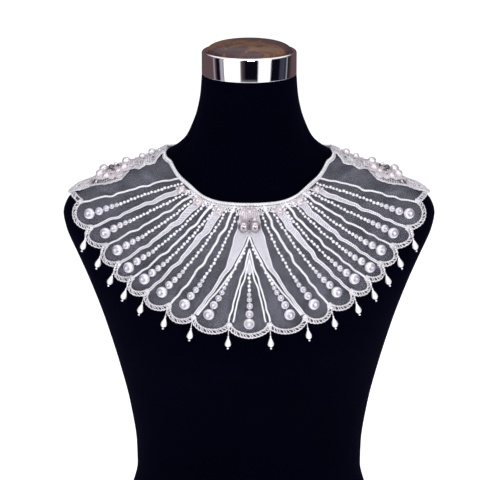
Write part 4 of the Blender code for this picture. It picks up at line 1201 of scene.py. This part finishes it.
# Seed beads: millimetres down the axis, and radius. The outermost drops have two more.
FEW_BEADS = ((0.4, 1.15), (9.6, 1.0))
MORE_BEADS = ((0.4, 1.15), (2.6, 1.15), (4.6, 1.15), (9.6, 1.0))
FOOT_BEAD, OUTERMOST = (21.0, 1.05), 0.75
OVER_BRAID, OVER_LOBE = 1.55, 3.15
TOP_PAST, TOP_LIFT, FOOT_CLEAR, SIDEWAYS = 1.6, 2.55, 6.0, math.radians(70)
KNOT, KNOT_LIFT = 0.62, 2.0


def knot(centre, across, down, up):
    """A trefoil of thread: (sin a + 2 sin 2a, cos a - 2 cos 2a, -sin 3a), carried as a closed tube."""
    a = 2 * math.pi * np.arange(36) / 36
    x, y, z = np.sin(a) + 2 * np.sin(2 * a), np.cos(a) - 2 * np.cos(2 * a), -np.sin(3 * a)
    path = centre + KNOT * (x[:, None] * across + y[:, None] * down + 0.9 * z[:, None] * up)
    return tube(path, up, KNOT * 0.85, 6, closed=True)


for valley in range(1, LOBES):
    q = np.array([float(valley)])
    aside = min(abs(place(q, 1.0)[0][0]) / SIDEWAYS, 1.0)
    over = OVER_BRAID + (OVER_LOBE - OVER_BRAID) * aside ** 3
    top = cloth(q, 1.0 + TOP_PAST / column_length(q), TOP_LIFT + over)[0]
    foot_z = np.array([top[2] - DROP_LENGTH])
    below = np.arctan2(abs(top[0]), section_depth(section(foot_z), abs(top[0]), "front")) * np.sign(top[0])
    near, foot = (skin(below, foot_z, lift)[0] for lift in (0.0, FOOT_CLEAR + FOOT_CLEAR * aside))
    if np.dot(top[:2] - foot[:2], (foot - near)[:2]) > 0:
        foot = np.array([top[0], top[1], foot[2]])
    axis = (foot - top) / DROP_LENGTH
    bead_down, bead_radius = np.array(MORE_BEADS if aside > OUTERMOST else FEW_BEADS).T
    parts = [tube(top + axis * np.linspace(*THREAD_RUN, 12)[:, None], DROP_FACING, THREAD_RADIUS, 6),
             tube(top + axis * drop_down[:, None], DROP_FACING, drop_radius, 14),
             balls(top + axis * bead_down[:, None], bead_radius, 10, 7),
             balls(top + axis * FOOT_BEAD[0], FOOT_BEAD[1], 12, 8)]
    piece(f"teardrop_{valley:02d}", join(parts), PEARL, (f"drop_{valley:02d}",))
knots = []
for valley in range(LOBES + 1):
    point, up = laid(np.array([float(valley)]), 1.0 - 1.0 / column_length(float(valley)), TRIM + KNOT_LIFT)
    level = unit(cloth(valley + 0.02, 1.0, 0.0) - cloth(valley - 0.02, 1.0, 0.0))
    knots.append(knot(point[0], level, np.cross(level, up[0]), up[0]))
piece("valley_knots", join(knots), CORD)
print("teardrops:", LOBES - 1)

# %% [markdown]
# ## Motifs in flat millimetres
# Lace and small flowers are easiest to draw flat, in millimetres along and across, with a height. Petals
# are domed shells, and leaves are an outline with a midrib and side veins, open between their cords.
# Afterwards one function lays all their points on the cloth.

# %% Petals, leaves and nets
VEINS, LEAF_BASE = 5, 0.8


def spun(shape, angle, centre, base):
    """Flat points turned by an angle and moved to a centre, base mm higher."""
    cosine, sine = math.cos(angle), math.sin(angle)
    x, y = shape[..., 0] * cosine - shape[..., 1] * sine, shape[..., 0] * sine + shape[..., 1] * cosine
    return np.stack([x + centre[0], y + centre[1], shape[..., 2] + base], axis=-1)


def petal(centre, angle, length, width, rise, base):
    """A dome: length u, half width (width/2) sin(pi u^0.75), height rise * sin(0.85 pi u + 0.2) with its
    sides turned down, and a cord round its edge."""
    u = np.linspace(0.0, 1, 9)[:, None]
    v = np.linspace(-1, 1, 7)[None, :]
    half = width / 2 * np.sin(math.pi * np.clip(u, 0.02, 0.985) ** 0.75) ** 0.7
    height = rise * np.sin(0.85 * math.pi * u + 0.2) * (1 - 0.45 * v ** 2)
    top = np.stack([length * u + 0 * v, half * v, height], axis=-1)
    rim = np.concatenate([top[:, 0], top[-1, 1:-1], top[::-1, -1], top[0, -2:0:-1]]) + 0.1 * UP
    outer, inner, edge = (spun(shape, angle, centre, base) for shape in (top, top - 0.6 * UP, rim))
    return [shell(outer, inner), tube(edge, UP, 0.34, 5, closed=True)]


def leaf(centre, angle, length, width, thick):
    """Outline: half width sin(pi u)^0.8 either side of a midrib, with slanting veins between them."""
    u = np.linspace(0, 1, 18)
    half = width / 2 * np.sin(math.pi * u) ** 0.8
    height = 0.5 * np.sin(math.pi * u)
    side_a, side_b = (np.stack([length * u, side * half, height], axis=-1) for side in (1, -1))
    rib = np.stack([length * u, 0 * u, height + 0.35], axis=-1)
    lines = [(np.concatenate([side_a, side_b[-2:0:-1]]), thick, 6, True), (rib, thick * 0.9, 6, False)]
    for start in 0.12 + 0.68 * np.arange(VEINS) / (VEINS - 1):
        for side in (-1, 1):
            end = min(start + 0.16, 0.97)
            reach = side * width / 2 * math.sin(math.pi * end) ** 0.8
            share = np.linspace(0, 1, 4)
            along = length * (start + (end - start) * share)
            vein = np.stack([along, reach * share, 0.35 + 0 * share], axis=-1)
            lines.append((vein, thick * 0.62, 5, False))
    return [tube(spun(line, angle, centre, LEAF_BASE), UP, radius, sides, closed)
            for line, radius, sides, closed in lines]


def zigzag(ends, line_a, line_b, phase, pitch, radius, base):
    """A cord that crosses a strip from one of its lines to the other and back: a triangle wave."""
    steps = np.arange(ends[0], ends[1], pitch / 2)
    odd = (np.arange(len(steps)) + phase) % 2 == 1
    path = np.stack([steps, np.where(odd, line_a(steps), line_b(steps)), base + 0 * steps], axis=-1)
    fine = np.concatenate([path[:-1] * (1 - share) + path[1:] * share
                           for share in (0.0, 0.25, 0.5, 0.75)], axis=1)
    return tube(fine.reshape(-1, 3), UP, radius, 5)


def flower(centre, radius, count, rise, base, start):
    """Petals at equal angles round a centre, each overlapping the next."""
    return [part for n in range(count) for part in petal(
        centre, start + 2 * math.pi * n / count, radius, radius * 5.0 / count, rise, base + 0.25 * (n % 2))]


print("petal triangles:", sum(2 * len(part[1]) for part in petal((0, 0), 0, 9, 6, 2, 1)))

# %% [markdown]
# ## Shoulder lace
# The raised lace runs from the neckline over each shoulder and ends in a leaf tip past the hem. Its plan
# is a few short tables of leaves, flowers and pearls, in millimetres along and across the strip. A
# scalloped cord edges it, and zigzag cords fill the ground between.

# %% Lace plan
LACE_LENGTH, LACE_WIDTH = 105.0, 49.0
LACE_RUN, LACE_EDGES = (-0.02, 1.06), (0.135, 0.37)
CLIMB, HEM_CLIMB_T, HEM_CLIMB_RUN, NECK_CLIMB_T, NECK_CLIMB_RUN = 1.9, 0.80, 0.12, 0.09, 0.06
SCALLOP, SCALLOPS_A_MM = 1.1, 0.62
REACH_COLUMNS = ("along", "front", "back")
REACH_ROWS = (
    (0, 6, 13),
    (7, 9, 18),
    (15, 18, 20),
    (21, 15, 20),
    (27, 18, 20),
    (33, 12, 20),
    (41, 19, 21),
    (51, 27, 22),
    (61, 26, 22),
    (68, 21, 20),
    (76, 17, 17),
    (88, 19, 12),
    (96, 14, 7),
    (105, 1, 1),
)
# Leaves: along, across, degrees, length, width, thickness of the cord.
LEAF_ROWS = (
    (9, 4, 196, 9, 7, 0.6),
    (9, -2, 222, 9, 6, 0.6),
    (10, 8, 165, 11, 7, 0.6),
    (15, 2, 270, 20, 11, 0.8),
    (26, 2, 268, 20, 10, 0.8),
    (14, 16, 100, 12, 8, 0.6),
    (30, 14, 80, 12, 8, 0.6),
    (45, 16, 70, 12, 9, 0.6),
    (62, 16, 100, 12, 9, 0.6),
    (74, 2, 2, 30, 13, 0.7),
    (75, -10, 352, 27, 11, 0.8),
    (72, 11, 8, 20, 8, 0.6),
)
# Flowers: along, across, radius, count of petals, rise, base.
BLOOM_ROWS = (
    (7, 1, 6, 5, 1.4, 1.2),
    (51, -9, 14, 7, 3.4, 1.0),
    (51, -6, 8.5, 5, 2.4, 2.8),
    (36, -3, 9, 5, 2.6, 1.4),
    (64, -3, 8.5, 5, 2.6, 1.4),
    (51, 12, 10, 6, 2.4, 1.4),
)
# Single petals: along, across, degrees, length, width, rise, base.
DOME_ROWS = (
    (31, 3, 0, 15, 17, 5.2, 1.2),
    (33, -10, 350, 13, 12, 3.6, 0.8),
    (56, 6, 0, 13, 17, 5.6, 1.2),
    (58, -9, 10, 11, 13, 4.0, 0.8),
    (44, -14, 300, 11, 9, 2.6, 0.8),
)
# Beads are given by their place along and across the strip, their height and their radius.
PEARL_BEADS = (
    (15.3, 6, 3.5, 3.7),
    (23.6, 5, 3.2, 3.3),
    (37.5, 3, 5.0, 4.4),
    (39, -9, 4.2, 3.8),
    (59.5, 6, 5.6, 4.8),
    (62.5, -4, 5.0, 4.4),
    (57, -13, 4.0, 3.4),
    (45.5, -12, 3.6, 2.8),
)
SEED_BEADS = (
    (7, 1, 2.4, 1.6),
    (19, -8, 1.8, 1.2),
    (30.5, -6, 2.2, 1.5),
    (48, 6, 5.4, 2.2),
    (68, -14, 2.0, 1.4),
    (80, -4, 2.0, 1.2),
    (90, -6, 1.8, 1.1),
)
DARK_BEADS = (
    (51.5, 0, 5.4, 3.3),
    (49.5, -9, 5.2, 1.9),
    (52.5, -15, 4.2, 1.1),
    (45, 1, 5.0, 1.2),
    (30, 0, 2.4, 1.0),
    (69, -8, 1.6, 1.5),
    (71.5, -11, 1.6, 1.3),
    (67, -16, 1.6, 1.2),
    (13, -6, 1.6, 0.8),
    (83, -10, 1.6, 0.8),
    (87, -7, 1.6, 0.8),
)
# Shares of the way to the strip's front (below zero) and back edge, with zigzags from each to the next.
BANDS = ((-1.0, -0.72), (-0.72, -0.42), (-0.42, -0.1), (-0.1, 0.4), (0.4, 1.0))
# Pitch of the zigzags, and the radius and base of their cord.
ZIGZAG = (4.6, 0.45, 0.5)
REACH = curves(REACH_COLUMNS, REACH_ROWS)


def lace_reach(side, along):
    """How far the strip reaches to its front (-1) or back (+1), with scallops of |sin| along both."""
    scallops = SCALLOP * np.abs(np.sin(along * SCALLOPS_A_MM))
    return side * (REACH["front" if side < 0 else "back"](along) + scallops - 0.5)


def lay_lace(side, points):
    """Flat lace points laid along a shoulder. The lace climbs over the binding and over the hem's braid."""
    t = LACE_RUN[0] + points[:, 0] / LACE_LENGTH * (LACE_RUN[1] - LACE_RUN[0])
    around = sum(LACE_EDGES) / 2 + points[:, 1] / LACE_WIDTH * (LACE_EDGES[1] - LACE_EDGES[0])
    q = LOBES + BACK_SPAN * around / 2 if side == "left" else ROUND - BACK_SPAN * around / 2
    over_hem, over_binding = (t - HEM_CLIMB_T) / HEM_CLIMB_RUN, (NECK_CLIMB_T - t) / NECK_CLIMB_RUN
    climb = CLIMB * np.maximum(np.clip(over_hem, 0, 1), np.clip(over_binding, 0, 1))
    return cloth(q, t, TRIM + climb + points[:, 2])


def lace_line(share):
    """A line along the strip at a share of the way to its front or back edge."""
    return lambda along: abs(share) * lace_reach(-1 if share < 0 else 1, along)


lace_parts, petal_parts = [], []
for side in (-1, 1):
    for inset, thick in ((0.0, 0.75), (2.4, 0.55)):
        along = np.linspace(1.0, LACE_LENGTH - 1.0, 190)
        line = np.stack([along, lace_reach(side, along) - side * inset, 0.7 + 0 * along], axis=-1)
        lace_parts.append(tube(line, UP, thick, 6))
for low, high in BANDS:
    for phase in (0, 1):
        lace_parts.append(zigzag((2, LACE_LENGTH - 4), lace_line(low), lace_line(high), phase, *ZIGZAG))
for along, across, degrees, *size in LEAF_ROWS:
    lace_parts += leaf((along, across), math.radians(degrees), *size)
for n, (along, across, *shape) in enumerate(BLOOM_ROWS):
    petal_parts += flower((along, across), *shape, 0.5 * n)
for along, across, degrees, *shape in DOME_ROWS:
    petal_parts += petal((along, across), math.radians(degrees), *shape)


def beads(name, lay, rows, material, *fineness):
    """Beads from rows of three flat places and a radius."""
    rows = np.array(rows, float)
    piece(name, sewn_balls(lay, rows[:, :3], rows[:, 3], *fineness), material)


def motif(name, lay, parts, material, stands_for=()):
    """Flat parts made one piece on the cloth."""
    points, faces, flat = join(parts)
    piece(name, (lay(points), faces, flat), material, stands_for, turn_out=True)


for side in ("left", "right"):
    def on_shoulder(points):
        return lay_lace(side, points)

    motif(f"lace_ground_{side}", on_shoulder, lace_parts, LACE, (f"shoulder_lace_{side}",))
    motif(f"lace_petals_{side}", on_shoulder, petal_parts, PETAL)
    beads(f"lace_pearls_{side}", on_shoulder, PEARL_BEADS, ROSE_PEARL, 24, 16)
    beads(f"lace_beads_{side}", on_shoulder, SEED_BEADS, PEARL, 24, 16)
    beads(f"lace_dark_beads_{side}", on_shoulder, DARK_BEADS, DARK_BEAD, 24, 16)
print("lace pieces on each shoulder:", len(lace_parts) + len(petal_parts))

# %% [markdown]
# ## Flowers on the neckline
# A small beaded flower sits at the neck end of each wide ray, and a larger one over the centre V: lace
# petals, a cluster of crystals, two smoke-grey beads side by side, and dark seeds tucked round them.

# %% Neckline flowers
BUD_COLUMNS = ("ray", "t", "petal", "bead")
BUD_ROWS = (
    (1, 0.085, 4.8, 3.3),
    (3, 0.055, 5.2, 4.0),
    (5, 0.065, 5.0, 3.8),
)
# One middle bead and four seeds round it, by their flat places, and the seeds' radii.
BUD_SPOTS = ((0, 0, 2.9), (2.6, 4.2, 2.0), (-3.4, 3.2, 1.9), (-2.6, -3.4, 1.8), (3.3, -2.6, 1.8))
BUD_SEEDS = (1.8, 1.3, 1.4, 1.3)
FLOWER_T, SMOKE_T = 0.065, 0.185
# Petals of the centre flower: degrees, length, width. Its beads are rows like the shoulder's.
PETAL_ROWS = ((175, 9, 6), (5, 9, 6), (215, 7.5, 5), (325, 7.5, 5), (60, 10, 6), (120, 10, 6))
CRYSTALS = (
    (0.3, 0, 4.4, 3.5),
    (-4.6, -2.6, 3.2, 1.7),
    (4.4, -2.2, 3.2, 1.8),
    (-1.6, -5.0, 3.0, 1.5),
    (2.2, -4.6, 3.0, 1.5),
    (-6.4, 9.0, 3.8, 2.4),
    (3.8, 7.2, 4.2, 2.7),
)
SMOKY = ((-4.9, 0, 5.0, 5.9), (4.9, 0, 5.0, 5.9))
TUCKED = (
    (-5.0, 5.4, 4.2, 0.85),
    (5.0, 5.4, 4.2, 0.85),
    (0.0, -5.6, 5.2, 0.85),
    (3.4, -8.4, 5.4, 0.85),
    (-9.6, -4.6, 3.4, 0.85),
    (9.8, -3.4, 3.4, 0.85),
)


def laid_at(q0, t0):
    """Lays flat points round one place of the cloth: the first runs along the neckline, the second down."""
    width, length = float(lobe_width(np.array([q0]), np.array([t0]))[0]), float(column_length(q0))
    return lambda points: cloth(q0 + points[:, 0] / width, t0 + points[:, 1] / length, TRIM + points[:, 2])


bud_petals, bud_beads = [], []
for row in named(BUD_COLUMNS, BUD_ROWS):
    for q0 in (float(row["ray"]), LOBES - float(row["ray"])):
        lay = laid_at(q0, row["t"])
        points, faces, flat = join(flower((0, 0), row["petal"], 6, 0.8, 1.0, row["ray"]))
        bud_petals.append((lay(points), faces, flat))
        bud_beads.append(sewn_balls(lay, BUD_SPOTS, [row["bead"], *BUD_SEEDS]))
piece("neckline_buds", join(bud_petals), PETAL, turn_out=True)
piece("neckline_bud_beads", join(bud_beads), ROSE_PEARL)

centre_petals = [part for degrees, length, width in PETAL_ROWS
                 for part in petal((0.0, 0.0), math.radians(degrees), length, width, 1.2, 1.5)]
motif("centre_petals", laid_at(CENTRE, FLOWER_T), centre_petals, PETAL, ("centre_flower",))
beads("centre_crystals", laid_at(CENTRE, FLOWER_T), CRYSTALS, ROSE_PEARL)
beads("centre_beads", laid_at(CENTRE, SMOKE_T), SMOKY, SMOKE_BEAD, 32, 20)
beads("centre_dark_beads", laid_at(CENTRE, SMOKE_T), TUCKED, DARK_BEAD)
print("buds:", len(bud_petals))

# %% [markdown]
# ## The tulle's flat shape
# Each tulle sheet is cut as part of a ring, so its flat area is less than its width times its length.

# %% [markdown]
# ## Studio
# The floor is plain and pale. Light comes from a soft sky all round, brighter towards two tall windows,
# which is what gives the chrome its upright bands, and from four soft lamps. The camera stands where the
# form looks upright and the neck cap shows a little of its top.

# %% Floor, sky, lamps and camera
FLOOR_HALF, UNDER_FORM = 9.0, 0.0005
CAMERA_PLACE, CAMERA_TILT, LENS, SENSOR = (-0.0092, -2.5114, 1.0149), 75, 191.2, 36.0
DARK, SLATE, BROWN = (0.003, 0.003, 0.007), (0.05, 0.05, 0.075), (0.12, 0.075, 0.08)
GREY, WHITE = (0.42, 0.40, 0.45), (1.6, 1.6, 1.65)
WALLS = (
    (0.225, BROWN), (0.235, GREY), (0.245, BROWN), (0.262, DARK), (0.285, DARK), (0.292, GREY),
    (0.313, GREY), (0.317, DARK), (0.325, WHITE), (0.43, WHITE), (0.445, BROWN), (0.475, DARK),
    (0.555, DARK), (0.570, WHITE), (0.640, WHITE), (0.655, DARK), (0.715, DARK), (0.73, SLATE),
    (0.765, SLATE), (0.78, DARK), (0.79, GREY), (0.80, DARK), (0.86, BROWN),
)
LAMP_COLUMNS = ("name", "place", "aim_height", "size", "power")
LAMP_ROWS = (
    ("key_lamp", (-1.1, -1.9, 1.7), 0.38, 1.0, 10),
    ("fill_lamp", (1.4, -1.7, 1.2), 0.38, 1.3, 7),
    ("top_lamp", (0.0, -0.3, 2.2), 0.40, 1.5, 9),
    ("near_lamp", (0.15, -1.9, 1.05), 0.36, 0.6, 12),
)


def shown(name, data, place_at, turn=(0.0, 0.0, 0.0)):
    """One more object of the studio."""
    made = bpy.data.objects.new(name, data)
    made.location, made.rotation_euler = place_at, turn
    bpy.context.scene.collection.objects.link(made)
    return made


def studio_floor():
    """Plain pale paper, lit a little from itself, just under the form and unseen in reflections."""
    mesh = bpy.data.meshes.new("studio_floor")
    corners = [(FLOOR_HALF * x, FLOOR_HALF * y, 0) for x, y in ((-1, -1), (1, -1), (1, 1), (-1, 1))]
    mesh.from_pydata(corners, [], [(0, 1, 2, 3)])
    paper, tree, shader = finish("studio_paper")
    wire(tree, shader, {"Base Color": (0.93, 0.93, 0.93), "Roughness": 0.9, "Specular IOR Level": 0.0,
                        "Emission Color": (1.0, 1.0, 1.0), "Emission Strength": 0.8})
    mesh.materials.append(paper)
    made = shown("studio_floor", mesh, (0.0, 0.0, -UNDER_FORM))
    made.visible_glossy = False
    made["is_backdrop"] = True


def studio_sky():
    """White to the camera. Reflections see dark walls with bright windows, by the direction's azimuth, and
    a white ceiling."""
    world = bpy.data.worlds.new("studio_sky")
    bpy.context.scene.world = world
    world.use_nodes = True
    tree = world.node_tree
    tree.nodes.clear()
    x, y, z = add(tree, "SeparateXYZ", {"Vector": add(tree, "TexCoord").outputs["Generated"]}).outputs
    azimuth = combine(tree, "ARCTAN2", x, combine(tree, "MULTIPLY", y, -1.0))
    share = add(tree, "MapRange", {"Value": azimuth, "From Min": -math.pi, "From Max": math.pi})
    walls = ramp(tree, share, WALLS)
    steep = add(tree, "MapRange", {"Value": combine(tree, "ABSOLUTE", z), "From Min": 0.42, "From Max": 0.62})
    room = add(tree, "Mix", {0: steep, 6: walls, 7: (1.1, 1.1, 1.15)}, data_type="RGBA")
    skies = (room.outputs[2], 1.0), ((1.0, 1.0, 1.0), 1.0), ((0.95, 0.96, 1.0), 0.30)
    mirror, plain, soft = (add(tree, "Background", {"Color": colour, "Strength": strength})
                           for colour, strength in skies)
    rays = add(tree, "LightPath").outputs
    lit = add(tree, "MixShader", {0: rays["Is Glossy Ray"], 1: soft, 2: mirror})
    seen = add(tree, "MixShader", {0: rays["Is Camera Ray"], 1: lit, 2: plain})
    add(tree, "OutputWorld", {"Surface": seen})


studio_floor()
studio_sky()
for row in named(LAMP_COLUMNS, LAMP_ROWS):
    light = bpy.data.lights.new(row["name"], "AREA")
    light.shape, light.size, light.energy = "SQUARE", row["size"], row["power"]
    gaze = np.array([0.0, 0.0, row["aim_height"]]) - np.array(row["place"])
    shown(row["name"], light, row["place"], (math.atan2(math.hypot(gaze[0], gaze[1]), -gaze[2]), 0.0,
                                             math.atan2(gaze[0], -gaze[1]) + math.pi))
camera_data = bpy.data.cameras.new("camera")
camera_data.sensor_width, camera_data.lens = SENSOR, LENS
bpy.context.scene.camera = shown("camera", camera_data, CAMERA_PLACE, (math.radians(CAMERA_TILT), 0.0, 0.0))

# %% Sizes and finish
seen_low, seen_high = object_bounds()
sizes = {"cad_box": [list(cad_low), list(cad_high)], "visual_box": [list(seen_low), list(seen_high)]}
print("visual box in mm:", [round((b - a) / MM, 1) for a, b in zip(seen_low, seen_high)])
